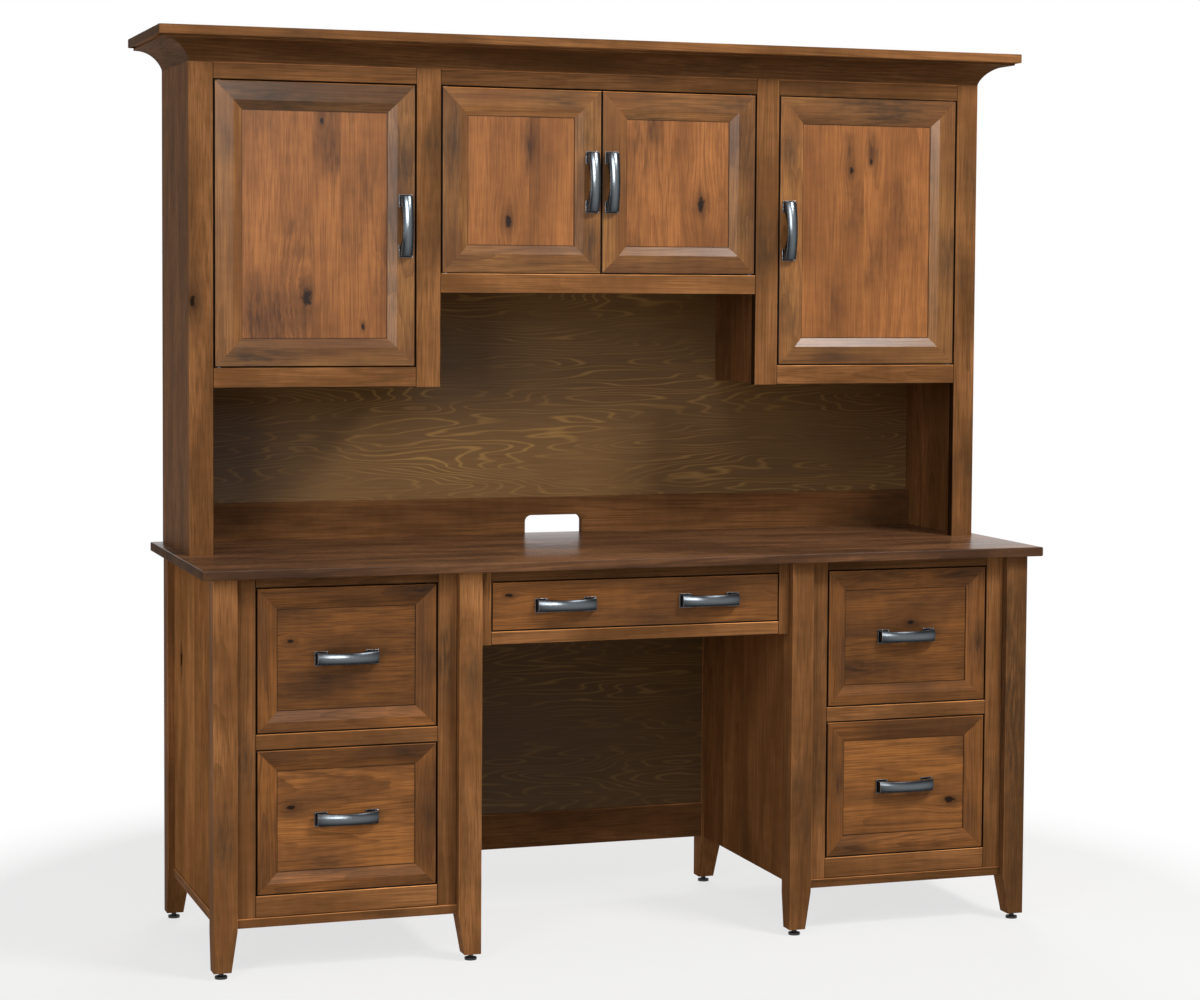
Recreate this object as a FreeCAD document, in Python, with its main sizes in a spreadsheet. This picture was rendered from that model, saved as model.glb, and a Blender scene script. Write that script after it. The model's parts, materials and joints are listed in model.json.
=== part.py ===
import FreeCAD, Part
import math
import os
import re
import Sketcher
from FreeCAD import Rotation, Vector

# Double pedestal desk with a hutch, in solid wood and plywood, at full size in millimetres.
# X runs to the right, Y to the back and Z up. The origin is on the floor, under the middle of the desk.

doc = FreeCAD.newDocument("double_pedestal_desk")
sizes = doc.addObject("Spreadsheet::Sheet", "sizes")
places = doc.addObject("Spreadsheet::Sheet", "places")
workings = doc.addObject("Spreadsheet::Sheet", "workings")

# Driving dimensions, each of which can be set by itself.
SIZES = [
    # desk top
    ("desk_width", 1756),
    ("desk_depth", 590),
    ("desk_height", 783),
    ("top_thick", 19),
    ("top_ease", 3),
    # legs and feet
    ("side_overhang", 25),
    ("front_overhang", 22),
    ("back_overhang", 14),
    ("pedestal_width", 527),
    ("leg_size", 46),
    ("foot_size", 34),
    ("foot_rise", 13),
    ("leveler_radius", 12),
    ("leveler_disc", 4.5),
    ("neck_radius", 5),
    ("neck_slope", 1.5),
    ("stem_radius", 4),
    ("stem_length", 25),
    ("stem_play", 0.25),
    # boards of the base
    ("board_thick", 19),
    ("ply_thick", 6),
    ("frame_setback", 19),
    ("panel_setback", 14),
    ("inner_panel_setback", 6),
    ("moulding_base", 92.5),
    ("moulding_height", 18),
    ("moulding_proud", 3),
    ("inner_panel_base", 105),
    ("floor_thick", 12),
    ("floor_drop", 12),
    ("bottom_rail", 41.5),
    ("mid_rail", 30),
    ("top_rail", 21),
    ("file_stile", 39),
    ("apron_height", 147),
    ("apron_rail", 26),
    ("apron_top_rail", 23),
    ("apron_stile", 24),
    ("modesty_base", 106),
    ("modesty_rail_height", 75),
    ("modesty_recess", 3),
    # fronts: mitred bevelled frames round a flat panel
    ("front_thick", 20),
    ("reveal", 2),
    ("door_reveal", 2.2),
    ("door_member", 55),
    ("door_bevel", 18),
    ("drawer_member", 40),
    ("drawer_bevel", 20),
    ("bevel_drop", 8),
    ("quirk", 1.4),
    ("groove_depth", 10),
    ("panel_play", 0.2),
    ("panel_float", 1),
    # drawer boxes and their telescopic slides
    ("box_board", 12),
    ("box_back_room", 45),
    ("box_headroom", 31.5),
    ("box_lift", 14),
    ("box_bottom_rise", 12),
    ("centre_box_back_room", 92),
    ("centre_box_headroom", 22),
    ("centre_box_lift", 10),
    ("slide_space", 12.7),
    ("slide_sheet", 1.2),
    ("slide_height", 45),
    ("slide_reach", 10.2),
    ("slide_play", 0.4),
    ("web_gap", 0.6),
    ("slide_back_room", 36),
    ("centre_slide_back_room", 70),
    ("slide_start", 2),
    ("slide_level", 110),
    ("cleat_height", 60),
    # pulls
    ("pull_length", 126),
    ("plate_length", 25),
    ("plate_width", 28),
    ("plate_thick", 3),
    ("strap_inset", 3),
    ("strap_width", 24),
    ("strap_waist", 19),
    ("strap_end_rise", 18),
    ("strap_mid_rise", 29),
    ("strap_thick", 7),
    ("strap_foot", 19),
    ("strap_crown", 4),
    ("door_pull_inset", 20),
    # hutch
    ("hutch_width", 1704),
    ("hutch_depth", 310),
    ("hutch_height", 969),
    ("outer_stile", 49),
    ("inner_stile", 52),
    ("centre_opening", 682),
    ("side_cabinet_base", 330),
    ("centre_cabinet_base", 519),
    ("cabinet_rail", 40),
    ("hutch_top_rail", 33),
    ("partition_recess", 27),
    ("back_recess", 12),
    ("back_rail_height", 78),
    ("notch_centre", -11),
    ("notch_width", 129),
    ("notch_height", 40),
    ("notch_radius", 14),
    ("back_panel_lap", 31),
    ("shelf_level", 270),
    ("shelf_gap", 1),
    ("shelf_setback", 25),
    ("shelf_pin_radius", 2.5),
    ("shelf_pin_depth", 8),
    ("shelf_pin_reach", 9),
    ("shelf_pin_inset", 40),
    # door pivots and catches
    ("pivot_radius", 2.5),
    ("pivot_depth", 12),
    ("pivot_fit", 0.02),
    ("pivot_play", 0.08),
    ("pivot_from_edge", 9),
    ("pivot_from_face", 6),
    ("collar_radius", 5),
    ("collar_play", 0.2),
    ("catch_width", 20),
    ("catch_depth", 30),
    ("catch_height", 45),
    ("catch_drop", 40),
    ("catch_lap", 12),
    ("catch_play", 0.4),
    # cornice
    ("cove_height", 46),
    ("cove_projection", 58),
    ("cove_lip", 4),
    ("cove_fillet", 5),
    ("cove_step", 4),
    ("cornice_thick", 18.5),
    ("cornice_step", 11),
    ("cornice_ease", 2),
]

# Places worked out from the driving dimensions.
PLACES = [
    # base
    ("top_under", "desk_height - top_thick"),
    ("base_half", "desk_width / 2 - side_overhang"),
    ("knee_half", "base_half - pedestal_width"),
    ("leg_front", "-desk_depth / 2 + front_overhang"),
    ("leg_back", "desk_depth / 2 - back_overhang"),
    ("leg_length", "top_under - foot_rise"),
    ("taper_rise", "moulding_base - foot_rise"),
    ("case_front", "leg_front + leg_size"),
    ("case_back", "leg_back - leg_size"),
    ("face_front", "leg_front + frame_setback"),
    ("face_back", "face_front + board_thick"),
    ("frame_outer", "base_half - leg_size"),
    ("frame_inner", "knee_half + leg_size"),
    ("frame_base", "moulding_base + moulding_height"),
    ("file_outer", "frame_outer - file_stile"),
    ("file_inner", "frame_inner + file_stile"),
    ("lower_floor", "frame_base + bottom_rail"),
    ("file_height", "(top_under - top_rail - mid_rail - lower_floor) / 2"),
    ("lower_top", "lower_floor + file_height"),
    ("upper_floor", "lower_top + mid_rail"),
    ("upper_top", "upper_floor + file_height"),
    ("outer_panel_face", "base_half - panel_setback"),
    ("outer_panel_back", "outer_panel_face - board_thick"),
    ("inner_panel_face", "knee_half + inner_panel_setback"),
    ("inner_panel_back", "inner_panel_face + board_thick"),
    ("base_back", "leg_back - panel_setback"),
    ("apron_half", "knee_half - apron_stile"),
    ("apron_base", "top_under - apron_height"),
    ("apron_floor", "apron_base + apron_rail"),
    ("apron_top", "top_under - apron_top_rail"),
    ("modesty_rail_top", "modesty_base + modesty_rail_height"),
    ("modesty_face", "case_back + modesty_recess"),
    ("panel_face", "bevel_drop + quirk"),
    ("drawer_back", "face_front + front_thick"),
    ("slide_front", "drawer_back + slide_start"),
    ("box_height", "file_height - box_lift - box_headroom"),
    ("box_length", "base_back - ply_thick - drawer_back - box_back_room"),
    ("slide_length", "base_back - ply_thick - slide_front - slide_back_room"),
    ("centre_box_height", "apron_top - apron_floor - centre_box_lift - centre_box_headroom"),
    ("centre_box_length", "modesty_face - drawer_back - centre_box_back_room"),
    ("centre_slide_length", "modesty_face - slide_front - centre_slide_back_room"),
    ("middle_member_height", "slide_height - 2 * (slide_sheet + slide_play)"),
    ("inner_member_height", "middle_member_height - 2 * (slide_sheet + slide_play)"),
    # hutch
    ("hutch_half", "hutch_width / 2"),
    ("hutch_front", "desk_depth / 2 - hutch_depth"),
    ("hutch_back", "desk_depth / 2"),
    ("hutch_case_front", "hutch_front + board_thick"),
    ("back_panel_face", "hutch_back - back_recess"),
    ("hutch_top", "desk_height + hutch_height"),
    ("side_inner", "hutch_half - board_thick"),
    ("door_outer", "hutch_half - outer_stile"),
    ("centre_half", "centre_opening / 2"),
    ("door_inner", "centre_half + inner_stile"),
    ("partition_face", "centre_half + partition_recess"),
    ("partition_back", "partition_face + board_thick"),
    ("side_base", "desk_height + side_cabinet_base"),
    ("side_floor", "side_base + cabinet_rail"),
    ("centre_base", "desk_height + centre_cabinet_base"),
    ("centre_floor", "centre_base + cabinet_rail"),
    ("door_top", "hutch_top - hutch_top_rail"),
    ("shelf_under", "side_floor + shelf_level"),
    ("cornice_base", "hutch_top + cove_height"),
    ("cove_rise", "cove_height - cove_fillet - cove_lip"),
    ("cove_run", "cove_projection - cove_step"),
    ("cove_radius", "(cove_run ^ 2 + cove_rise ^ 2) / (2 * cove_rise)"),
    ("cornice_overhang", "cove_projection + cornice_step"),
    # pulls
    ("strap_half", "pull_length / 2 - strap_inset"),
    ("strap_bow", "strap_mid_rise - strap_end_rise"),
    ("strap_radius", "(strap_half ^ 2 + strap_bow ^ 2) / (2 * strap_bow)"),
    ("gap_half", "strap_half - strap_foot"),
    ("gap_rise", "strap_mid_rise - strap_thick - plate_thick"),
    ("gap_radius", "(gap_half ^ 2 + gap_rise ^ 2) / (2 * gap_rise)"),
    ("waist_cut", "(strap_width - strap_waist) / 2"),
    ("waist_radius", "(strap_half ^ 2 + waist_cut ^ 2) / (2 * waist_cut)"),
]

OWNER = {name: "sizes." for name, _ in SIZES}
OWNER.update({name: "places." for name, _ in PLACES})


def qualified(formula):
    """Writes a formula's names as references to the sheet that holds each of them."""
    return re.sub(r"[a-z_]+", lambda word: OWNER.get(word.group(), "") + word.group(), formula)


def fill_sheet(sheet, rows):
    """Gives every named value a row: its name in column A, its content in column B."""
    for number, (name, content) in enumerate(rows, start=1):
        sheet.set(f"A{number}", name)
        sheet.set(f"B{number}", content)
        sheet.setAlias(f"B{number}", name)


fill_sheet(sizes, [(name, str(value)) for name, value in SIZES])
doc.recompute()
fill_sheet(places, [(name, "=" + qualified(formula)) for name, formula in PLACES])
doc.recompute()

NODES = []
WORK_CELL = "A1"
FRONT_AXIS = Vector(0, 1, 0)
UP_AXIS = Vector(0, 0, 1)
QUARTER_TURN = 90
FULL_TURN = 360
# Points of a sketch's line or arc, and the sketch's own origin
START_POINT = 1
END_POINT = 2
CENTRE_POINT = 3
SKETCH_ORIGIN = (-1, 1)
# A cut that goes right through is this many times as long as the wood is thick
CUT_THROUGH = 3
# Edges this near to a level count as lying on it
TOUCH = 0.1


def worked_out(formula):
    """The value of a formula, as the sheet works it out."""
    workings.set(WORK_CELL, "=" + qualified(formula))
    workings.recompute()
    return float(workings.get(WORK_CELL))


def bind(target, **formulas):
    """Ties properties of an object to formulas."""
    for name, formula in formulas.items():
        target.setExpression(name, qualified(formula))


def place(target, x="0", y="0", z="0", axis=UP_AXIS, degrees=0):
    """Turns an object about an axis through its own origin, then ties its position to formulas."""
    target.Placement.Rotation = Rotation(axis, degrees)
    for letter, formula in zip("xyz", (x, y, z)):
        target.setExpression(f"Placement.Base.{letter}", qualified(formula))


def node(label, members):
    """Names a sub-part: one object, or several separate solids that share a node."""
    if len(members) == 1:
        piece = members[0]
    else:
        piece = doc.addObject("Part::Compound", label)
        piece.Links = members
    piece.Label = label
    NODES.append(piece)
    return piece


def board(name, x, y, z):
    """A square-edged board between two formulas along each axis."""
    piece = doc.addObject("Part::Box", name)
    bind(piece, Length=f"({x[1]}) - ({x[0]})", Width=f"({y[1]}) - ({y[0]})", Height=f"({z[1]}) - ({z[0]})")
    place(piece, x[0], y[0], z[0])
    return piece


def rod(name, x, y, z, radius, length, axis=UP_AXIS, degrees=0):
    """A round rod or drill that starts at a point, upright unless it is turned."""
    piece = doc.addObject("Part::Cylinder", name)
    bind(piece, Radius=radius, Height=length)
    place(piece, x, y, z, axis, degrees)
    return piece


def drilled(base, drills):
    """A piece with round holes in it."""
    for count, drill in enumerate(drills):
        cut = doc.addObject("Part::Cut", f"{base.Name}_hole_{count}")
        cut.Base = base
        cut.Tool = drill
        base = cut
    return base


def side_span(side, inner, outer):
    """The low and high X of a piece on the right side (1) or the left side (-1) of the middle."""
    if side > 0:
        return (inner, outer)
    return (f"-({outer})", f"-({inner})")


def sketch_on(body, name, role):
    """A sketch on one of the body's own origin planes."""
    sketch = body.newObject("Sketcher::SketchObject", name)
    plane = next(feature for feature in body.Origin.OriginFeatures if feature.Role == role)
    sketch.AttachmentSupport = (plane, [""])
    sketch.MapMode = "FlatFace"
    return sketch


def constrain(sketch, kind, formula, *where):
    """Adds a dimension to a sketch and ties it to a formula."""
    index = sketch.addConstraint(Sketcher.Constraint(kind, *where, worked_out(formula)))
    sketch.setExpression(f"Constraints[{index}]", qualified(formula))


def arc_between(start, end, radius, turn):
    """The short arc from start to end that turns left (1) or right (-1)."""
    middle = (start + end) * 0.5
    across = Vector(start.y - end.y, end.x - start.x, 0)
    across.normalize()
    reach = math.sqrt(max(radius ** 2 - (end - start).Length ** 2 / 4, 0))
    centre = middle + across * reach * turn
    first, last = (start, end) if turn > 0 else (end, start)
    angles = [math.atan2(point.y - centre.y, point.x - centre.x) for point in (first, last)]
    return Part.ArcOfCircle(Part.Circle(centre, UP_AXIS, radius), angles[0], angles[1])


def outline(sketch, corners, arcs=None):
    """A closed outline through corners given as formulas. arcs holds, for the number of a corner that an
    arc leaves, the arc's radius as a formula and the way that it turns."""
    arcs = arcs or {}
    points = [Vector(worked_out(x), worked_out(y), 0) for x, y in corners]
    first = sketch.GeometryCount
    count = len(corners)
    for number, start in enumerate(points):
        end = points[(number + 1) % count]
        if number in arcs:
            radius, turn = arcs[number]
            sketch.addGeometry(arc_between(start, end, worked_out(radius), turn))
        else:
            sketch.addGeometry(Part.LineSegment(start, end))
    backwards = {number for number, (_, turn) in arcs.items() if turn < 0}
    entries = [END_POINT if number in backwards else START_POINT for number in range(count)]
    for number in range(count):
        following = (number + 1) % count
        leave = START_POINT if entries[number] == END_POINT else END_POINT
        sketch.addConstraint(
            Sketcher.Constraint("Coincident", first + number, leave, first + following, entries[following]))
    for number, (x, y) in enumerate(corners):
        constrain(sketch, "DistanceX", x, *SKETCH_ORIGIN, first + number, entries[number])
        constrain(sketch, "DistanceY", y, *SKETCH_ORIGIN, first + number, entries[number])
    for number, (radius, _) in arcs.items():
        constrain(sketch, "Radius", radius, first + number)


def pad(body, sketch, length, middle=False, backwards=False):
    """Raises a sketch into a solid."""
    feature = body.newObject("PartDesign::Pad", sketch.Name + "_pad")
    feature.Profile = sketch
    feature.Midplane = middle
    feature.Reversed = backwards
    bind(feature, Length=length)
    doc.recompute()
    return feature


def pocket(body, sketch, length, middle=False, backwards=False):
    """Cuts a sketch out of a solid, and makes sure that it took something away."""
    before = body.Shape.Volume
    feature = body.newObject("PartDesign::Pocket", sketch.Name + "_pocket")
    feature.Profile = sketch
    feature.Midplane = middle
    feature.Reversed = backwards
    bind(feature, Length=length)
    doc.recompute()
    if not body.Shape.Volume < before:
        raise ValueError(f"{feature.Name} cuts nothing")
    return feature


def ease(body, radius, chosen):
    """Rounds the edges of a body's last feature for which chosen is true."""
    base = body.Tip
    names = [f"Edge{number}" for number, edge in enumerate(base.Shape.Edges, start=1) if chosen(edge)]
    feature = body.newObject("PartDesign::Fillet", base.Name + "_ease")
    feature.Base = (base, names)
    bind(feature, Radius=radius)
    doc.recompute()
    return feature


def eased_board(name, x, y, z, radius):
    """A board with all its edges rounded."""
    body = doc.addObject("PartDesign::Body", name)
    sketch = sketch_on(body, name + "_plan", "XY_Plane")
    outline(sketch, [(x[0], y[0]), (x[1], y[0]), (x[1], y[1]), (x[0], y[1])])
    pad(body, sketch, f"({z[1]}) - ({z[0]})")
    ease(body, radius, lambda edge: True)
    place(body, z=z[0])
    return body


def leg(name, x, y, turn):
    """A square leg whose two inner faces taper to the foot, bored for its leveler, with its outer edge at
    x, y."""
    body = doc.addObject("PartDesign::Body", name)
    front = sketch_on(body, name + "_front", "XZ_Plane")
    outline(front, [("0", "0"), ("foot_size", "0"), ("leg_size", "taper_rise"),
                    ("leg_size", "leg_length"), ("0", "leg_length")])
    pad(body, front, "leg_size", backwards=True)
    side = sketch_on(body, name + "_side", "YZ_Plane")
    outline(side, [("foot_size", "0"), ("leg_size", "0"), ("leg_size", "taper_rise")])
    pocket(body, side, f"{CUT_THROUGH} * leg_size", middle=True)
    bore = sketch_on(body, name + "_bore", "XY_Plane")
    middle = worked_out("foot_size / 2")
    radius = worked_out("stem_radius + stem_play")
    circle = bore.addGeometry(Part.Circle(Vector(middle, middle, 0), UP_AXIS, radius))
    constrain(bore, "DistanceX", "foot_size / 2", *SKETCH_ORIGIN, circle, CENTRE_POINT)
    constrain(bore, "DistanceY", "foot_size / 2", *SKETCH_ORIGIN, circle, CENTRE_POINT)
    constrain(bore, "Radius", "stem_radius + stem_play", circle)
    pocket(body, bore, "stem_length + leveler_disc", backwards=True)
    place(body, x, y, "foot_rise", UP_AXIS, turn)
    return body


def leveler(name, x, y):
    """A screw-in leveling foot: disc, neck and stem, turned about its own axis."""
    body = doc.addObject("PartDesign::Body", name)
    section = sketch_on(body, name + "_section", "XZ_Plane")
    outline(section, [("0", "0"), ("leveler_radius", "0"), ("leveler_radius", "leveler_disc"),
                      ("neck_radius", "leveler_disc + neck_slope"), ("neck_radius", "foot_rise"),
                      ("stem_radius", "foot_rise"), ("stem_radius", "foot_rise + stem_length"),
                      ("0", "foot_rise + stem_length")])
    turned = body.newObject("PartDesign::Revolution", name + "_turned")
    turned.Profile = section
    turned.ReferenceAxis = (section, ["V_Axis"])
    turned.Angle = FULL_TURN
    doc.recompute()
    place(body, x, y)
    return body


def frame_member(name, length, width, bevel):
    """One mitred side of a bevelled frame. It lies along X with its outer edge at z = 0 and its face at
    y = 0, and has a groove in its inner edge for the panel."""
    body = doc.addObject("PartDesign::Body", name)
    section = sketch_on(body, name + "_section", "YZ_Plane")
    groove_front = "panel_face - panel_play"
    groove_back = "panel_face + ply_thick + panel_play"
    groove_floor = f"{width} - groove_depth"
    outline(section, [("0", "0"), ("front_thick", "0"), ("front_thick", width), (groove_back, width),
                      (groove_back, groove_floor), (groove_front, groove_floor), (groove_front, width),
                      ("bevel_drop", width), ("0", f"{width} - {bevel}")])
    pad(body, section, length, middle=True)
    mitres = sketch_on(body, name + "_mitres", "XZ_Plane")
    half = f"({length}) / 2"
    outline(mitres, [(f"-{half}", "0"), (f"-{half}", width), (f"{width} - {half}", width)])
    outline(mitres, [(half, "0"), (half, width), (f"{half} - {width}", width)])
    pocket(body, mitres, f"{CUT_THROUGH} * front_thick", middle=True)
    return body


def framed_front(name, x, z, face, width, bevel):
    """A mitred bevelled frame and its flat panel, between two formulas across and up."""
    across = f"({x[1]}) - ({x[0]})"
    upward = f"({z[1]}) - ({z[0]})"
    middle_x = f"(({x[0]}) + ({x[1]})) / 2"
    middle_z = f"(({z[0]}) + ({z[1]})) / 2"
    seats = {"bottom": (across, middle_x, z[0]), "left": (upward, x[0], middle_z),
             "top": (across, middle_x, z[1]), "right": (upward, x[1], middle_z)}
    members = {}
    for number, (seat, (length, at_x, at_z)) in enumerate(seats.items()):
        members[seat] = frame_member(f"{name}_{seat}", length, width, bevel)
        place(members[seat], at_x, face, at_z, FRONT_AXIS, number * QUARTER_TURN)
    inset = f"{width} - groove_depth + panel_float"
    panel = board(f"{name}_panel", (f"({x[0]}) + {inset}", f"({x[1]}) - ({inset})"),
                  (f"{face} + panel_face", f"{face} + panel_face + ply_thick"),
                  (f"({z[0]}) + {inset}", f"({z[1]}) - ({inset})"))
    return members, panel


def pull(name, x, y, z, turn):
    """A cast strap pull: two foot plates and an arched strap between them, waisted and crowned."""
    body = doc.addObject("PartDesign::Body", name)
    side = sketch_on(body, name + "_side", "XY_Plane")
    outline(side, [("-strap_half", "-plate_thick"), ("-strap_half", "-strap_end_rise"),
                   ("strap_half", "-strap_end_rise"), ("strap_half", "-plate_thick"),
                   ("gap_half", "-plate_thick"), ("-gap_half", "-plate_thick")],
            {1: ("strap_radius", 1), 4: ("gap_radius", -1)})
    pad(body, side, "strap_width", middle=True)
    waist = sketch_on(body, name + "_waist", "XZ_Plane")
    outline(waist, [("strap_half", "strap_width / 2"), ("-strap_half", "strap_width / 2")],
            {0: ("waist_radius", -1)})
    outline(waist, [("-strap_half", "-strap_width / 2"), ("strap_half", "-strap_width / 2")],
            {0: ("waist_radius", -1)})
    pocket(body, waist, f"{CUT_THROUGH} * strap_mid_rise", middle=True)
    face = -worked_out("strap_end_rise")
    half = worked_out("strap_half")
    ease(body, "strap_crown", lambda edge: edge.Length > half and edge.BoundBox.YMax < face + TOUCH)
    plates = sketch_on(body, name + "_plates", "XZ_Plane")
    for ends in (("-pull_length / 2", "plate_length - pull_length / 2"),
                 ("pull_length / 2 - plate_length", "pull_length / 2")):
        outline(plates, [(ends[0], "-plate_width / 2"), (ends[1], "-plate_width / 2"),
                         (ends[1], "plate_width / 2"), (ends[0], "plate_width / 2")])
    pad(body, plates, "plate_thick")
    place(body, x, y, z, FRONT_AXIS, turn)
    return body


def channel(name, side, web, reach, height, start, length, level):
    """One folded-steel slide member. Its web is at web and its flanges reach that far to side, along X."""
    body = doc.addObject("PartDesign::Body", name)
    section = sketch_on(body, name + "_section", "XZ_Plane")
    inside = f"{web} + {side} * slide_sheet"
    tip = f"{web} + {side} * ({reach})"
    half = f"({height}) / 2"
    outline(section, [(web, f"-{half}"), (tip, f"-{half}"), (tip, f"slide_sheet - {half}"),
                      (inside, f"slide_sheet - {half}"), (inside, f"{half} - slide_sheet"),
                      (tip, f"{half} - slide_sheet"), (tip, half), (web, half)])
    pad(body, section, length, backwards=True)
    place(body, y=start, z=level)
    return body


def drawer_box(name, x, z_low, height, length):
    """An open drawer box: two sides, front, back and a plywood bottom let in between them."""
    front = "drawer_back"
    back = f"{front} + {length}"
    z = (z_low, f"{z_low} + {height}")
    within = (f"({x[0]}) + box_board", f"({x[1]}) - box_board")
    bottom = f"{z_low} + box_bottom_rise"
    return [
        board(f"{name}_left_side", (x[0], within[0]), (front, back), z),
        board(f"{name}_right_side", (within[1], x[1]), (front, back), z),
        board(f"{name}_sub_front", within, (front, f"{front} + box_board"), z),
        board(f"{name}_back", within, (f"{back} - box_board", back), z),
        board(f"{name}_bottom", within, (f"{front} + box_board", f"{back} - box_board"),
              (bottom, f"{bottom} + ply_thick")),
    ]


def cove_length(name, start, end, mitred):
    """A run of cove moulding along X that flares towards -Y, with a mitre at each end named in mitred."""
    body = doc.addObject("PartDesign::Body", name)
    section = sketch_on(body, name + "_section", "YZ_Plane")
    outline(section, [("board_thick", "0"), ("0", "0"), ("0", "cove_lip"),
                      ("-cove_run", "cove_height - cove_fillet"),
                      ("-cove_projection", "cove_height - cove_fillet"), ("-cove_projection", "cove_height"),
                      ("board_thick", "cove_height")],
            {2: ("cove_radius", 1)})
    pad(body, section, f"({end}) - ({start})")
    plan = sketch_on(body, name + "_mitres", "XY_Plane")
    slant = "cove_projection + board_thick"
    if "start" in mitred:
        outline(plan, [("0", "-cove_projection"), (slant, "board_thick"), ("0", "board_thick")])
    if "end" in mitred:
        length = f"({end}) - ({start})"
        outline(plan, [(length, "-cove_projection"), (length, "board_thick"),
                       (f"{length} - ({slant})", "board_thick")])
    pocket(body, plan, f"{CUT_THROUGH} * cove_height", middle=True)
    return body


# Desk top
top = eased_board("desk_top", ("-desk_width / 2", "desk_width / 2"), ("-desk_depth / 2", "desk_depth / 2"),
                  ("top_under", "desk_height"), "top_ease")
node("desk_top", [top])

# Legs and their levelers, at the four corners of each pedestal
legs = []
levelers = []
for side, side_name in ((-1, "left"), (1, "right")):
    low, high = side_span(side, "knee_half", "base_half")
    corners = [(low, "leg_front"), (high, "leg_front"), (high, "leg_back"), (low, "leg_back")]
    for number, (x, y) in enumerate(corners):
        legs.append(leg(f"{side_name}_leg_{number}", x, y, number * QUARTER_TURN))
        to_right = 1 if x == low else -1
        to_back = 1 if y == "leg_front" else -1
        levelers.append(leveler(f"{side_name}_leveler_{number}", f"{x} + {to_right} * foot_size / 2",
                                f"{y} + {to_back} * foot_size / 2"))
node("pedestal_legs", legs)
node("leg_levelers", levelers)

# Boards of the two pedestals
side_panels = []
face_frames = []
mouldings = []
floors = []
backs = []
cleats = []
for side, side_name in ((-1, "left"), (1, "right")):
    depth = ("case_front", "case_back")
    outer = side_span(side, "outer_panel_back", "outer_panel_face")
    inner = side_span(side, "inner_panel_face", "inner_panel_back")
    side_panels.append(board(f"{side_name}_outer_panel", outer, depth, ("frame_base", "top_under")))
    side_panels.append(board(f"{side_name}_inner_panel", inner, depth, ("inner_panel_base", "top_under")))

    face = ("face_front", "face_back")
    opening = side_span(side, "file_inner", "file_outer")
    for stile, ends in (("inner", ("frame_inner", "file_inner")), ("outer", ("file_outer", "frame_outer"))):
        face_frames.append(board(f"{side_name}_{stile}_stile", side_span(side, *ends), face,
                                 ("frame_base", "top_under")))
    for rail, ends in (("bottom", ("frame_base", "lower_floor")), ("mid", ("lower_top", "upper_floor")),
                       ("top", ("upper_top", "top_under"))):
        face_frames.append(board(f"{side_name}_{rail}_rail", opening, face, ends))

    strip = ("moulding_base", "frame_base")
    mouldings.append(board(f"{side_name}_front_moulding", side_span(side, "frame_inner", "frame_outer"),
                           ("face_front - moulding_proud", "face_back"), strip))
    proud = side_span(side, "outer_panel_back", "outer_panel_face + moulding_proud")
    mouldings.append(board(f"{side_name}_side_moulding", proud, depth, strip))

    floors.append(board(f"{side_name}_floor", side_span(side, "inner_panel_back", "outer_panel_back"), depth,
                        ("lower_floor - floor_drop - floor_thick", "lower_floor - floor_drop")))
    backs.append(board(f"{side_name}_back", side_span(side, "frame_inner", "frame_outer"),
                       ("base_back - ply_thick", "base_back"), ("inner_panel_base", "top_under")))
    for level_name, floor in (("lower", "lower_floor"), ("upper", "upper_floor")):
        middle = f"{floor} + box_lift + slide_level"
        height = (f"{middle} - cleat_height / 2", f"{middle} + cleat_height / 2")
        for wall, ends in (("inner", ("inner_panel_back", "file_inner")),
                           ("outer", ("file_outer", "outer_panel_back"))):
            name = f"{side_name}_{level_name}_{wall}_cleat"
            cleats.append(board(name, side_span(side, *ends), depth, height))
node("pedestal_side_panels", side_panels)
node("pedestal_face_frames", face_frames)
node("base_mouldings", mouldings)
node("pedestal_floor_panels", floors)

# Kneehole: apron frame round the centre drawer, modesty panel and its rail
knee = ("-knee_half", "knee_half")
apron = ("face_front", "face_back")
apron_opening = ("-apron_half", "apron_half")
node("centre_drawer_frame", [
    board("apron_left_stile", ("-knee_half", "-apron_half"), apron, ("apron_base", "top_under")),
    board("apron_right_stile", ("apron_half", "knee_half"), apron, ("apron_base", "top_under")),
    board("apron_bottom_rail", apron_opening, apron, ("apron_base", "apron_floor")),
    board("apron_top_rail", apron_opening, apron, ("apron_top", "top_under")),
])
node("modesty_rail", [board("modesty_bottom_rail", knee, ("case_back", "case_back + board_thick"),
                            ("modesty_base", "modesty_rail_top"))])
backs.append(board("modesty_panel", knee, ("modesty_face", "modesty_face + ply_thick"),
                   ("modesty_rail_top", "top_under")))
node("base_back_panels", backs)
centre_level = "apron_floor + centre_box_lift + centre_box_height / 2"
for side, side_name in ((-1, "left"), (1, "right")):
    cleats.append(board(f"centre_{side_name}_cleat", side_span(side, "apron_half", "inner_panel_face"),
                        ("case_front", "case_back"),
                        (f"{centre_level} - cleat_height / 2", f"{centre_level} + cleat_height / 2")))
node("slide_cleats", cleats)

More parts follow.
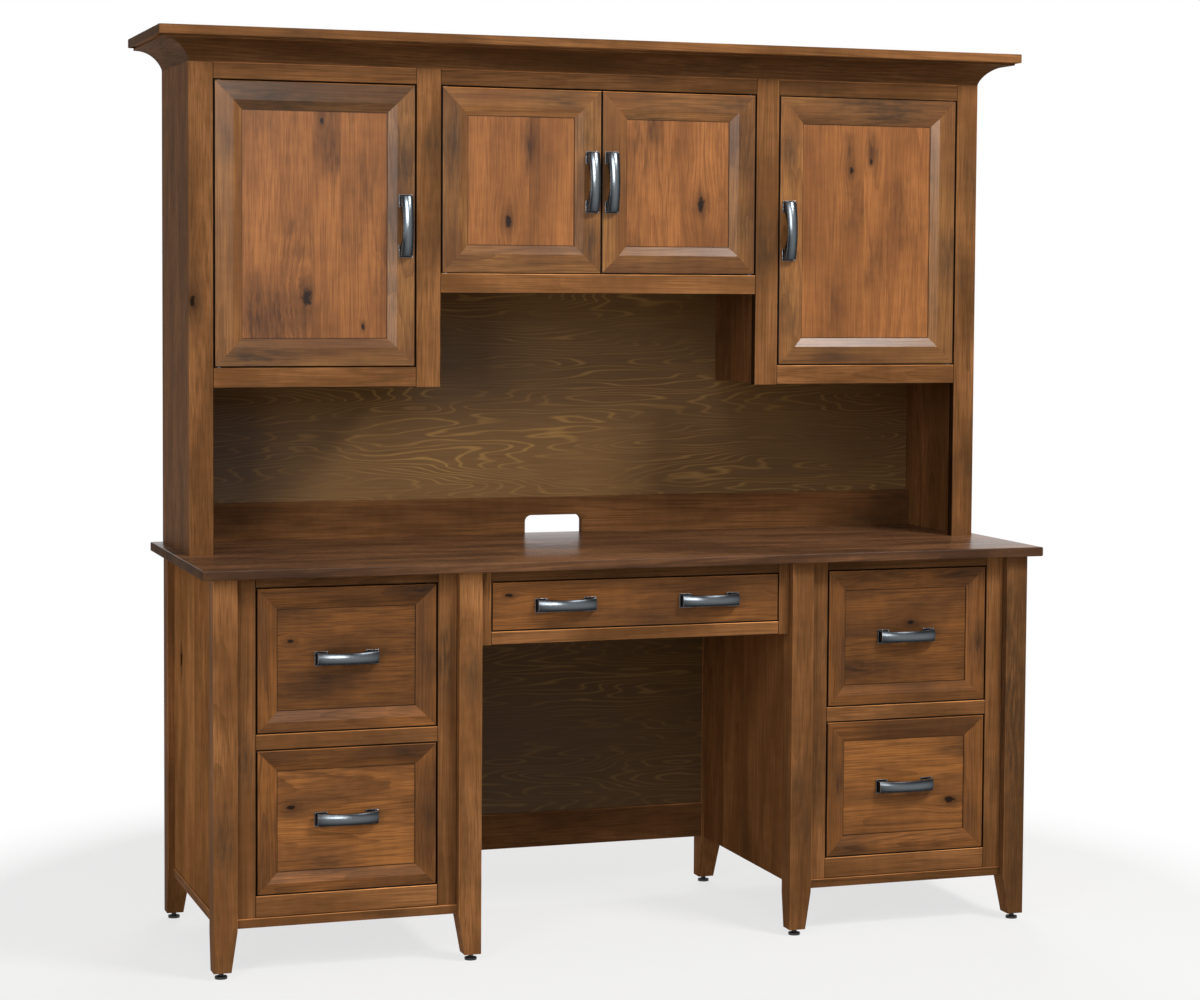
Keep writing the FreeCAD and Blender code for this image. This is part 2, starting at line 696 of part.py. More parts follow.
# File drawers on three-member slides
middle_web = "slide_sheet + web_gap"
cabinet_members = []
for side, side_name in ((-1, "left"), (1, "right")):
    opening = side_span(side, "file_inner", "file_outer")
    middle_x = f"(({opening[0]}) + ({opening[1]})) / 2"
    front_x = (f"{opening[0]} + reveal", f"{opening[1]} - reveal")
    box_x = (f"{opening[0]} + slide_space", f"{opening[1]} - slide_space")
    levels = (("upper", "upper_floor", "upper_top"), ("lower", "lower_floor", "lower_top"))
    for level_name, floor, ceiling in levels:
        name = f"{side_name}_{level_name}_drawer"
        members, panel = framed_front(f"{name}_front", front_x, (f"{floor} + reveal", f"{ceiling} - reveal"),
                                      "face_front", "drawer_member", "drawer_bevel")
        node(f"{name}_front", list(members.values()) + [panel])
        box = drawer_box(f"{name}_box", box_x, f"{floor} + box_lift", "box_height", "box_length")
        node(f"{name}_box", box)
        node(f"{name}_pull", [pull(f"{name}_pull", middle_x, "face_front + panel_face",
                                   f"({floor} + {ceiling}) / 2", 0)])
        level = f"{floor} + box_lift + slide_level"
        moving = []
        middles = []
        for inward, wall in ((1, opening[0]), (-1, opening[1])):
            end = "left" if inward > 0 else "right"
            cabinet_members.append(channel(f"{name}_{end}_cabinet_member", inward, wall, "slide_reach",
                                           "slide_height", "slide_front", "slide_length", level))
            middles.append(channel(f"{name}_{end}_middle_member", inward,
                                   f"{wall} + {inward} * ({middle_web})", f"slide_reach - ({middle_web})",
                                   "middle_member_height", "slide_front", "slide_length", level))
            moving.append(channel(f"{name}_{end}_drawer_member", -inward, f"{wall} + {inward} * slide_space",
                                  f"slide_space - 2 * ({middle_web}) - web_gap", "inner_member_height",
                                  "slide_front", "slide_length", level))
        node(f"{name}_slide_members", moving)
        node(f"{name}_middle_members", middles)

# Centre drawer: a plain slab front on two-member slides
centre_x = ("reveal - apron_half", "apron_half - reveal")
centre_box_x = ("slide_space - apron_half", "apron_half - slide_space")
slab = board("centre_drawer_slab", centre_x, ("face_front", "drawer_back"),
             ("apron_floor + reveal", "apron_top - reveal"))
node("centre_drawer_front", [slab])
node("centre_drawer_box", drawer_box("centre_drawer_box", centre_box_x, "apron_floor + centre_box_lift",
                                     "centre_box_height", "centre_box_length"))
node("centre_drawer_pulls", [
    pull(f"centre_drawer_{end}_pull", f"{side} * apron_half / 2", "face_front",
         "(apron_floor + apron_top) / 2", 0)
    for side, end in ((-1, "left"), (1, "right"))])
centre_moving = []
for inward, wall, end in ((1, "-apron_half", "left"), (-1, "apron_half", "right")):
    cabinet_members.append(channel(f"centre_{end}_cabinet_member", inward, wall, "slide_reach",
                                   "slide_height", "slide_front", "centre_slide_length", centre_level))
    centre_moving.append(channel(f"centre_{end}_drawer_member", -inward, f"{wall} + {inward} * slide_space",
                                 f"slide_space - ({middle_web})", "middle_member_height", "slide_front",
                                 "centre_slide_length", centre_level))
node("centre_drawer_slide_members", centre_moving)
node("slide_cabinet_members", cabinet_members)

# Hutch uprights, with holes for the shelf pins
hutch_depth_span = ("hutch_case_front", "back_panel_face")
uprights = []
shelf_pins = []
shelves = []
for side, side_name in ((-1, "left"), (1, "right")):
    outer = board(f"{side_name}_hutch_side", side_span(side, "side_inner", "hutch_half"),
                  ("hutch_case_front", "hutch_back"), ("desk_height", "hutch_top"))
    inner = board(f"{side_name}_partition", side_span(side, "partition_face", "partition_back"),
                  hutch_depth_span, ("side_base", "hutch_top - board_thick"))
    shelf_y = ("hutch_case_front + shelf_setback", "back_panel_face - shelf_gap")
    pin_level = "shelf_under - shelf_pin_radius"
    walls = ((outer, "outer", "side_inner", 1), (inner, "inner", "partition_back", -1))
    for wall, wall_name, wall_face, outward in walls:
        drills = []
        rows = (("front", f"{shelf_y[0]} + shelf_pin_inset"), ("rear", f"{shelf_y[1]} - shelf_pin_inset"))
        for row, y in rows:
            inmost = f"{wall_face} - shelf_pin_reach" if outward > 0 else f"{wall_face} - shelf_pin_depth"
            start = inmost if side > 0 else f"-({inmost}) - shelf_pin_reach - shelf_pin_depth"
            spot = f"{side_name}_{wall_name}_{row}_pin"
            shelf_pins.append(rod(spot, start, y, pin_level, "shelf_pin_radius",
                                  "shelf_pin_reach + shelf_pin_depth", FRONT_AXIS, QUARTER_TURN))
            drills.append(rod(f"{spot}_drill", start, y, pin_level, "shelf_pin_radius + pivot_fit",
                              "shelf_pin_reach + shelf_pin_depth", FRONT_AXIS, QUARTER_TURN))
        uprights.append(drilled(wall, drills))
    shelves.append(board(f"{side_name}_shelf",
                         side_span(side, "partition_back + shelf_gap", "side_inner - shelf_gap"), shelf_y,
                         ("shelf_under", "shelf_under + board_thick")))
node("hutch_uprights", uprights)
node("hutch_shelves", shelves)
node("shelf_pins", shelf_pins)

# Hutch top, floors and back
node("hutch_top_panel", [board("hutch_top_board", ("-side_inner", "side_inner"), hutch_depth_span,
                               ("hutch_top - board_thick", "hutch_top"))])
hutch_floors = [board("centre_cabinet_floor", ("-partition_face", "partition_face"), hutch_depth_span,
                      ("centre_floor - board_thick", "centre_floor"))]
for side, side_name in ((-1, "left"), (1, "right")):
    hutch_floors.append(board(f"{side_name}_cabinet_floor", side_span(side, "partition_back", "side_inner"),
                              hutch_depth_span, ("side_floor - board_thick", "side_floor")))
node("hutch_floor_panels", hutch_floors)
node("hutch_back_panel", [board("hutch_back_ply", ("-side_inner", "side_inner"),
                                ("back_panel_face", "back_panel_face + ply_thick"),
                                ("desk_height + back_rail_height - back_panel_lap", "hutch_top"))])

# Back rail on the desk top, with a round-cornered notch for cables
rail_body = doc.addObject("PartDesign::Body", "hutch_back_rail")
rail_front = sketch_on(rail_body, "hutch_back_rail_front", "XZ_Plane")
notch_left = "notch_centre - notch_width / 2"
notch_right = "notch_centre + notch_width / 2"
outline(rail_front, [("-side_inner", "0"), (notch_left, "0"), (notch_left, "notch_height"),
                     (notch_right, "notch_height"), (notch_right, "0"), ("side_inner", "0"),
                     ("side_inner", "back_rail_height"), ("-side_inner", "back_rail_height")])
pad(rail_body, rail_front, "board_thick")
notch_ceiling = worked_out("notch_height")
ease(rail_body, "notch_radius", lambda edge: (
    edge.BoundBox.XLength < TOUCH and edge.BoundBox.ZLength < TOUCH
    and abs(edge.BoundBox.ZMin - notch_ceiling) < TOUCH))
place(rail_body, y="back_panel_face", z="desk_height")
node("hutch_back_rail", [rail_body])

# Doors on pivot pins let into the face frame
half_gap = "door_reveal / 2"
doors = [
    ("left_door", ("-door_outer + door_reveal", "-door_inner - door_reveal"), "side_floor", "left"),
    ("centre_left_door", ("-centre_half + door_reveal", f"-{half_gap}"), "centre_floor", "left"),
    ("centre_right_door", (half_gap, "centre_half - door_reveal"), "centre_floor", "right"),
    ("right_door", ("door_inner + door_reveal", "door_outer - door_reveal"), "side_floor", "right"),
]
pivot_pins = []
rail_drills = {"left_door": [], "centre": [], "right_door": []}
for name, x, floor, hinge in doors:
    z = (f"{floor} + door_reveal", "door_top - door_reveal")
    members, panel = framed_front(name, x, z, "hutch_front", "door_member", "door_bevel")
    inward = 1 if hinge == "left" else -1
    pivot_x = f"{x[0] if hinge == 'left' else x[1]} + {inward} * pivot_from_edge"
    pivot_y = "hutch_front + pivot_from_face"
    bore_radius = "pivot_radius + pivot_play"
    bores = {
        "bottom": rod(f"{name}_bottom_bore", pivot_x, pivot_y, z[0], bore_radius, "pivot_depth"),
        "top": rod(f"{name}_top_bore", pivot_x, pivot_y, f"{z[1]} - pivot_depth", bore_radius, "pivot_depth"),
    }
    members["bottom"] = drilled(members["bottom"], [bores["bottom"]])
    members["top"] = drilled(members["top"], [bores["top"]])
    members[hinge] = drilled(members[hinge], [bores["bottom"], bores["top"]])
    node(f"{name}_frame", list(members.values()))
    node(f"{name}_panel", [panel])
    free_x = f"{x[1]} - door_pull_inset" if hinge == "left" else f"{x[0]} + door_pull_inset"
    node(f"{name}_pull", [pull(f"{name}_pull", free_x, "hutch_front", f"({floor} + door_top) / 2",
                                QUARTER_TURN)])

    pin_length = "2 * pivot_depth + door_reveal - collar_play"
    low_pin = rod(f"{name}_low_pin", pivot_x, pivot_y, f"{floor} - pivot_depth", "pivot_radius", pin_length)
    collar = rod(f"{name}_collar", pivot_x, pivot_y, floor, "collar_radius", "door_reveal - collar_play")
    collared = doc.addObject("Part::Fuse", f"{name}_collared_pin")
    collared.Base = low_pin
    collared.Tool = collar
    pivot_pins.append(collared)
    high_start = f"door_top + pivot_depth - ({pin_length})"
    pivot_pins.append(rod(f"{name}_high_pin", pivot_x, pivot_y, high_start, "pivot_radius", pin_length))
    rail = "centre" if name.startswith("centre") else name
    rail_drills[rail].append((f"{name}_low", pivot_x, f"{floor} - pivot_depth"))
    rail_drills[rail].append((f"{name}_high", pivot_x, "door_top"))
node("door_pivot_pins", pivot_pins)

# Hutch face frame, drilled for the pivot pins
hutch_face = ("hutch_front", "hutch_case_front")
hutch_frame = []
for side, side_name in ((-1, "left"), (1, "right")):
    hutch_frame.append(board(f"{side_name}_hutch_outer_stile", side_span(side, "door_outer", "hutch_half"),
                             hutch_face, ("desk_height", "hutch_top")))
    hutch_frame.append(board(f"{side_name}_hutch_inner_stile", side_span(side, "centre_half", "door_inner"),
                             hutch_face, ("side_base", "hutch_top")))
rail_spans = [
    ("left_door", ("-door_outer", "-door_inner"), ("side_base", "side_floor")),
    ("centre", ("-centre_half", "centre_half"), ("centre_base", "centre_floor")),
    ("right_door", ("door_inner", "door_outer"), ("side_base", "side_floor")),
]
for rail, x, low_z in rail_spans:
    for level_name, z in (("low", low_z), ("high", ("door_top", "hutch_top"))):
        drills = [rod(f"{spot}_drill", at_x, "hutch_front + pivot_from_face", at_z,
                      "pivot_radius + pivot_fit", "pivot_depth")
                  for spot, at_x, at_z in rail_drills[rail] if spot.endswith(level_name)]
        hutch_frame.append(drilled(board(f"{rail}_{level_name}_rail", x, hutch_face, z), drills))
node("hutch_face_frame", hutch_frame)

# Magnetic catches behind the free edges of the doors
catch_front = "hutch_front + max(front_thick; board_thick) + catch_play"
catches = [board("centre_catch", ("-catch_height / 2", "catch_height / 2"),
                 (catch_front, f"{catch_front} + catch_depth"),
                 ("door_top - door_reveal - catch_lap", "hutch_top - board_thick"))]
for side, side_name in ((-1, "left"), (1, "right")):
    catch_x = side_span(side, "partition_back", "partition_back + catch_width")
    catches.append(board(f"{side_name}_catch", catch_x, (catch_front, f"{catch_front} + catch_depth"),
                         ("door_top - catch_drop - catch_height", "door_top - catch_drop")))
node("door_catches", catches)

# Cornice: mitred cove on the case, a closing rail at the back and the board on top
front_cove = cove_length("front_cove", "-hutch_half - cove_projection", "hutch_half + cove_projection",
                         ("start", "end"))
place(front_cove, "-hutch_half - cove_projection", "hutch_front", "hutch_top")
right_cove = cove_length("right_cove", "hutch_front - cove_projection", "hutch_back", ("start",))
place(right_cove, "hutch_half", "hutch_front - cove_projection", "hutch_top", UP_AXIS, QUARTER_TURN)
left_cove = cove_length("left_cove", "-hutch_back", "cove_projection - hutch_front", ("end",))
place(left_cove, "-hutch_half", "hutch_back", "hutch_top", UP_AXIS, -QUARTER_TURN)
closing_rail = board("cornice_back_rail", ("-side_inner", "side_inner"),
                     ("hutch_back - board_thick", "hutch_back"), ("hutch_top", "cornice_base"))
node("cornice_cove", [front_cove, right_cove, left_cove, closing_rail])
cap = eased_board("cornice_board", ("-hutch_half - cornice_overhang", "hutch_half + cornice_overhang"),
                  ("hutch_front - cornice_overhang", "hutch_back"),
                  ("cornice_base", "cornice_base + cornice_thick"), "cornice_ease")
node("cornice_board", [cap])

doc.recompute()
for item in doc.Objects:
    if "Invalid" in item.State or "Error" in item.State:
        raise ValueError(f"{item.Name} failed: {item.State}")
for piece in NODES:
    if piece.Shape.isNull() or not piece.Shape.isValid():
        raise ValueError(f"{piece.Label} has no sound shape")
os.makedirs("parts", exist_ok=True)
for piece in NODES:
    piece.Shape.exportStep(f"parts/{piece.Label}.step")
print(len(NODES), "nodes,", sum(len(piece.Shape.Solids) for piece in NODES), "solids")
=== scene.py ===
# %% [markdown]
# # A double pedestal desk with a hutch
# The desk is knotty hardwood under a brown stain and a satin lacquer. It has frame and panel doors
# and drawers, olive-brown plywood backs and dark pewter pulls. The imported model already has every
# board where it belongs, so this lesson gives each board its eased edges, its own grain and its
# finish.

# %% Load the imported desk
import functools
import json
import math
import random

import bmesh
import bpy
from mathutils import Matrix, Vector


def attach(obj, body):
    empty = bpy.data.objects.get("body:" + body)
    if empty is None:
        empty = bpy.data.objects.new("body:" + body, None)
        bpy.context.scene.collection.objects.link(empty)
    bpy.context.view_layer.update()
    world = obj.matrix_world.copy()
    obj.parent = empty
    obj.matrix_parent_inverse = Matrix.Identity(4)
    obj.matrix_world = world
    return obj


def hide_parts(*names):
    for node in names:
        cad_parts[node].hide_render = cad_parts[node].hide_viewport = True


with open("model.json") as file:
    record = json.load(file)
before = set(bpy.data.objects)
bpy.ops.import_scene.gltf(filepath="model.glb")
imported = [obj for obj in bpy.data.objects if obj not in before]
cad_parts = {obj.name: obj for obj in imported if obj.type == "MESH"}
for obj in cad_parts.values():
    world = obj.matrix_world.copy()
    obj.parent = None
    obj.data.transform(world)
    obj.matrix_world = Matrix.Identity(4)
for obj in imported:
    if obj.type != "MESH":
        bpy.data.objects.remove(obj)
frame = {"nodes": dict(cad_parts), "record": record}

MM = 0.001
nodes = frame["nodes"]
node_slot = {part["node"]: part["material_slot"] for part in frame["record"]["subparts"]}
node_body = {}
for body, members in frame["record"]["behaviour"]["bodies"].items():
    node_body.update((node, body) for node in members)
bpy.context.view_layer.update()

# %% [markdown]
# ## Colours and nodes
# A colour picked on a screen is an sRGB hex value, and the renderer works in linear light, so one
# function does the change. Node trees get long by hand, so one small function adds a node, fills in
# its settings, and takes each input either as a plain value or as a link from another node's
# socket. A new material comes with that function already tied to its tree, and the kinds of node
# that come up again and again get short names.

# %% One function for colours and one for nodes
ATTRIBUTE, NOISE, RANGE = "ShaderNodeAttribute", "ShaderNodeTexNoise", "ShaderNodeMapRange"
MATH, VECTOR, MIX = "ShaderNodeMath", "ShaderNodeVectorMath", "ShaderNodeMix"
LINEAR, SMOOTH = "LINEAR", "SMOOTHSTEP"


def linear(hex_colour):
    channels = [int(hex_colour[i:i + 2], 16) / 255 for i in (1, 3, 5)]
    return [c / 12.92 if c <= 0.04045 else ((c + 0.055) / 1.055) ** 2.4 for c in channels] + [1.0]


def put(tree, kind, inputs=(), out=0, **settings):
    """Adds a node and gives back one of its outputs, or all of them where out is None."""
    node = tree.nodes.new(kind)
    for key, value in settings.items():
        setattr(node, key, value)
    for key, value in dict(inputs).items():
        if isinstance(value, bpy.types.NodeSocket):
            tree.links.new(value, node.inputs[key])
        else:
            node.inputs[key].default_value = value
    return node.outputs if out is None else node.outputs[out]


def new_material(name):
    """An empty material, and the function that adds nodes to it."""
    material = bpy.data.materials.new(name)
    material.use_nodes = True
    material.node_tree.nodes.clear()
    return material, functools.partial(put, material.node_tree)


print("stain brown in linear light:", [round(c, 3) for c in linear("#96623b")])

# %% [markdown]
# ## Boards out of a node
# A node such as a door frame is one mesh of loose triangles that holds several boards. Real boards
# touch, so merging everything at once would weld a stile to its rail. The triangles come board by
# board: walking them in order and pairing their edges, a board is complete when no edge is left
# open. Each board is then merged on its own, and its flat triangles are dissolved into clean faces.

# %% Group the faces of a mesh into boards
def boards_of(bm):
    """Boards are groups of faces that share no edge with each other."""
    left, boards = set(bm.faces), []
    for face in bm.faces:
        if face not in left:
            continue
        left.discard(face)
        board, queue = [], [face]
        while queue:
            current = queue.pop()
            board.append(current)
            for edge in current.edges:
                for other in edge.link_faces:
                    if other in left:
                        left.discard(other)
                        queue.append(other)
        boards.append(board)
    return boards


print("desk_top has", len(nodes["desk_top"].data.polygons), "loose triangles")

# %% Merge each board on its own
WELD, FLAT = 0.02 * MM, math.radians(0.4)


def merged_copy(node):
    """A bmesh of the node with each board closed and its flat faces whole."""
    bm = bmesh.new()
    bm.from_mesh(nodes[node].data)
    open_edges, groups, group = set(), [], {}
    for face in bm.faces:
        corners = [tuple(round(c / MM, 2) for c in vert.co) for vert in face.verts]
        group.update(dict.fromkeys(face.verts))
        for a, b in zip(corners, corners[1:] + corners[:1]):
            if (b, a) in open_edges:
                open_edges.discard((b, a))
            else:
                open_edges.add((a, b))
        if not open_edges:
            groups.append(list(group))
            group = {}
    if group:
        groups.append(list(group))
    for verts in groups:
        bmesh.ops.remove_doubles(bm, verts=verts, dist=WELD)
    bmesh.ops.dissolve_limit(bm, angle_limit=FLAT, verts=bm.verts, edges=bm.edges)
    return bm


trial = merged_copy("left_door_frame")
print("left_door_frame:", len(boards_of(trial)), "boards,", len(trial.faces), "faces")

# %% [markdown]
# ## Eased arrises
# A joiner takes every sharp corner off with a stroke of sandpaper. That thin rounded edge catches
# the light, and with a painted highlight on its upper faces it is the pale line along the door
# tops. A bevel modifier would ease every edge alike. Choosing the edges and bevelling them here
# eases only those that run with the board on frames, so that a mitre or a butt joint stays a tight
# line.

# %% Ease the long edges of each board
AXES = (Vector((1, 0, 0)), Vector((0, 1, 0)), Vector((0, 0, 1)))
SHORTEST_EDGE, SHARP, STRAIGHT = 9 * MM, math.radians(40), 0.999
ROOM = 3    # a face beside an eased edge is at least this many times as wide as the ease


def extent(faces):
    points = [vert.co for face in faces for vert in face.verts]
    low = Vector([min(p[i] for p in points) for i in range(3)])
    high = Vector([max(p[i] for p in points) for i in range(3)])
    return low, high


def ease_arrises(bm, ease, with_ends):
    worn = []
    for board in boards_of(bm):
        low, high = extent(board)
        run = max(range(3), key=lambda i: high[i] - low[i])
        chosen = []
        for edge in dict.fromkeys(edge for face in board for edge in face.edges):
            length = edge.calc_length()
            if not edge.is_convex or length < SHORTEST_EDGE or edge.calc_face_angle(0) < SHARP:
                continue
            if min(face.calc_area() for face in edge.link_faces) / length < ROOM * ease:
                continue
            way = (edge.verts[1].co - edge.verts[0].co).normalized()
            runs_along = abs(way.dot(AXES[run])) > STRAIGHT
            if runs_along or (with_ends and max(abs(c) for c in way) > STRAIGHT):
                chosen.append(edge)
        if chosen:
            made = bmesh.ops.bevel(bm, geom=chosen, offset=ease, offset_type="OFFSET", segments=2,
                                   profile=0.5, affect="EDGES", clamp_overlap=True, material=-1)
            worn += made["faces"]
    return worn


eased = ease_arrises(trial, 1.3 * MM, False)
print("an ease of 1.3 mm on left_door_frame makes", len(eased), "narrow faces")
trial.free()

# %% [markdown]
# ## Smooth and flat faces
# A round-over or a hollow moulding is curved, and a planed board is dead flat. Shading everything
# smooth by angle would bend the light on flat faces next to a curve. So an edge is smooth where
# both its faces are rounded or nearly in line, and a face only where one of its long edges bends.

# %% Shade the curves smoothly
CURVE, BEND, LONG_SHARE = math.radians(16), math.radians(0.5), 0.2


def soft_shade(bm, worn):
    """Round-overs and coves shade smoothly, and flat faces stay flat."""
    worn = set(worn)
    for edge in bm.edges:
        on_round = all(face in worn for face in edge.link_faces)
        edge.smooth = on_round or edge.calc_face_angle(math.pi) < CURVE
    for face in bm.faces:
        long_enough = LONG_SHARE * max(edge.calc_length() for edge in face.edges)
        bends = [edge for edge in face.edges if edge.smooth and edge.calc_length() > long_enough
                 and edge.calc_face_angle(0) > BEND]
        face.smooth = face in worn or bool(bends)


print("edges under", round(math.degrees(CURVE)), "degrees count as part of a curve")

# %% [markdown]
# ## What the picture shows of single boards
# Real boards differ, and the eye knows a desk by its knots, its paler and darker boards and its
# smoky patches. Chance alone would put them anywhere. So the clear ones are listed, each as a
# point in millimetres inside its board.

# %% Knots, as points and radii in millimetres
KNOTS = {
    "left_door_panel": [(-614, -3, 1293, 11), (-585, -3, 1644, 4), (-500, -3, 1234, 3)],
    "centre_left_door_panel": [(-198, -3, 1447, 7)],
    "centre_right_door_panel": [(222, -3, 1489, 8)],
    "right_door_panel": [(563, -3, 1566, 5), (608, -3, 1586, 3)],
    "hutch_face_frame": [(-845, -5, 1284, 6), (-838, -5, 880, 5)],
    "left_lower_drawer_front": [(-697, -244, 318, 5), (-562, -244, 334, 6)],
    "left_upper_drawer_front": [(-700, -244, 638, 4)],
    "right_upper_drawer_front": [(600, -244, 630, 5)],
    "right_lower_drawer_front": [(698, -244, 256, 7)],
    "pedestal_side_panels": [(-839, 150, 556, 9)],
    "centre_drawer_front": [(-267, -254, 714, 4)],
}
print(sum(len(places) for places in KNOTS.values()), "knots are placed by hand")

# %% Tones and painted shade, as points and shares of the board's usual colour
TONES_AND_SHADE = {
    "left_door_panel": [(-680, -3, 1430, 0.93)],
    "left_door_frame": [
        (-600, -6, 1694, 0.53), (-778, -6, 1430, 0.95), (-418, -6, 1430, 0.9),
        (-600, -6, 1178, 0.75),
    ],
    "centre_left_door_frame": [
        (-316, -6, 1530, 0.8), (-24, -6, 1530, 1.05), (-170, -6, 1367, 0.76),
        (-170, -6, 1694, 1.2),
    ],
    "centre_right_door_frame": [
        (24, -6, 1530, 1.08), (316, -6, 1530, 0.9), (170, -6, 1694, 1.05), (170, -6, 1367, 0.85),
    ],
    "right_door_frame": [
        (418, -6, 1430, 1.3), (778, -6, 1430, 0.86), (600, -6, 1694, 0.98), (600, -6, 1178, 0.78),
    ],
    "centre_left_door_panel": [(-170, -3, 1530, 0.9), (-141, -3, 1530, 0.68)],
    "centre_right_door_panel": [(170, -3, 1530, 0.9)],
    "left_upper_drawer_front": [
        (-590, -240, 603, 0.78), (-590, -240, 732, 0.7), (-590, -240, 474, 1.0),
    ],
    "left_lower_drawer_front": [(-590, -240, 292, 1.42), (-590, -240, 422, 0.85)],
    "right_upper_drawer_front": [(590, -240, 603, 0.85), (590, -240, 732, 0.8)],
    "right_lower_drawer_front": [(590, -240, 292, 1.2), (590, -240, 422, 0.85)],
    "pedestal_legs": [
        (830, -255, 400, 0.83), (-830, -255, 400, 1.06), (-350, -255, 400, 1.35),
        (350, -255, 400, 0.92),
    ],
    "base_mouldings": [(590, -255, 100, 0.72), (-590, -255, 100, 0.95)],
    # painted shade under the cornice on the top rail at z 1735: 0.53, 0.68 and 0.6
    "hutch_face_frame": [
        (-840, -6, 1200, 0.97), (840, -6, 1200, 0.95), (0, -6, 1320, 1.25), (0, -6, 1735, 0.53),
        (-600, -6, 1735, 0.68), (600, -6, 1735, 0.6),
    ],
    "hutch_uprights": [(-843, 150, 1300, 0.84)],
    "centre_drawer_front": [(0, -250, 690, 1.05)],
    # painted shade on the back rail under the hutch
    "hutch_back_rail": [(300, 270, 820, 0.6)],
    # painted shade under the hutch on the back staves of the top: 0.78 and 0.7
    "desk_top": [(0, -200, 775, 0.93), (0, 118, 775, 0.78), (0, 236, 775, 0.7)],
    # painted shade in the knee hole on the modesty rail and the back
    "modesty_rail": [(0, 245, 140, 0.54)],
    "base_back_panels": [(0, 241, 400, 0.48)],
    # painted shade on the cove under the cornice board
    "cornice_cove": [(0, -10, 1775, 0.45), (-862, 140, 1760, 0.55), (862, 140, 1760, 0.6)],
    # painted shade on the top rails under the desk top's edge
    "centre_drawer_frame": [(0, -245, 752, 0.55)],
    "pedestal_face_frames": [(-590, -245, 754, 0.55), (590, -245, 754, 0.55)],
    # painted shade in the knee hole on its sides: 0.44 and 0.7
    "pedestal_side_panels": [
        (341, 0, 400, 0.44), (-341, 0, 400, 0.7), (839, 0, 400, 0.8), (-839, 0, 400, 1.1),
    ],
}
print(sum(len(places) for places in TONES_AND_SHADE.values()), "tones are placed by hand")

# %% Smoky patches, as points and half lengths along and across the grain in millimetres
SMUDGES = {
    "left_door_panel": [(-672, -3, 1250, 120, 110), (-560, -3, 1650, 70, 25)],
    "centre_left_door_panel": [(-150, -3, 1600, 80, 28)],
    "centre_right_door_panel": [(112, -3, 1640, 70, 25)],
    "right_door_panel": [(560, -3, 1612, 75, 27), (612, -3, 1606, 60, 24)],
    "left_door_frame": [
        (-690, -6, 1696, 165, 58), (-775, -6, 1600, 80, 28), (-420, -6, 1560, 95, 33),
        (-720, -6, 1176, 90, 32),
    ],
    "centre_left_door_frame": [
        (-318, -6, 1600, 115, 40), (-24, -6, 1400, 60, 22), (-90, -6, 1694, 105, 38),
    ],
    "centre_right_door_frame": [(300, -6, 1690, 100, 35), (318, -6, 1440, 80, 28)],
    "right_door_frame": [
        (640, -6, 1696, 155, 55), (420, -6, 1600, 80, 28), (778, -6, 1380, 105, 37),
        (520, -6, 1176, 80, 28),
    ],
    "left_upper_drawer_front": [
        (-446, -240, 728, 80, 28), (-480, -240, 512, 115, 40), (-640, -240, 560, 120, 42),
        (-428, -240, 600, 60, 22),
    ],
    "left_lower_drawer_front": [
        (-470, -240, 418, 95, 33), (-620, -240, 205, 100, 35), (-428, -240, 290, 70, 25),
    ],
    "right_upper_drawer_front": [
        (480, -240, 540, 115, 40), (700, -240, 728, 85, 30), (752, -240, 580, 65, 23),
    ],
    "right_lower_drawer_front": [
        (720, -240, 360, 100, 35), (470, -240, 168, 70, 25), (440, -240, 300, 60, 22),
    ],
    "centre_drawer_front": [(-262, -250, 690, 80, 28), (40, -250, 660, 95, 33)],
    "hutch_face_frame": [
        (-842, -6, 1284, 95, 33), (-840, -6, 900, 85, 30), (842, -6, 1560, 105, 37),
        (-360, -6, 1600, 85, 30), (364, -6, 1400, 95, 33),
    ],
    "pedestal_legs": [
        (-835, -255, 260, 85, 30), (830, -255, 420, 620, 217), (348, -255, 300, 95, 33),
        (-348, -255, 560, 80, 28),
    ],
    "pedestal_face_frames": [
        (-392, -245, 600, 105, 37), (-790, -245, 420, 95, 33), (792, -245, 300, 105, 37),
    ],
}
print(sum(len(places) for places in SMUDGES.values()), "smoky patches are placed by hand")

# %% Glue joints between staves, in millimetres across the panel
JOINTS = {
    "left_door_panel": [-602],
    "centre_left_door_panel": [-153, -130],
    "centre_right_door_panel": [138],
    "right_door_panel": [592],
    "right_lower_drawer_front": [266],
}
print(sum(len(places) for places in JOINTS.values()), "glue joints are placed by hand")

# %% [markdown]
# ## Rubbed edges, painted highlights and painted shade
# Stain is wiped on and rubbed off by hand. It rubs thin on edges and slopes and soaks into sawn
# ends. The pale eased edges also carry a painted highlight, and the dark walls of the gaps round
# doors and drawers and the inner faces of the hutch sides are painted shade. A dirt map by ray
# tracing could find such places, but it would not know which were wiped. So each face gets its
# share by where it is and which way it looks.

# %% How much paler or darker a face is than its board
# paler eased edges are wear and a painted highlight; gap walls and hutch insides are painted shade
WEAR_AND_HIGHLIGHT_UP, WEAR_AND_HIGHLIGHT_SIDE, SLOPE = 2.9, 1.5, 1.1
PAINTED_GAP_SHADE, END_GRAIN, TOP_FRONT, PAINTED_INSIDE_SHADE = 0.13, 0.4, 0.68, 0.78
HUTCH_CORNER = 850 * MM
WALL_AREA = 0.017   # square metres; a larger face is no wall of a gap
FRONTS = ("door_frame", "drawer_front")
GAP_WALLS = FRONTS + ("face_frame", "face_frames", "drawer_frame")


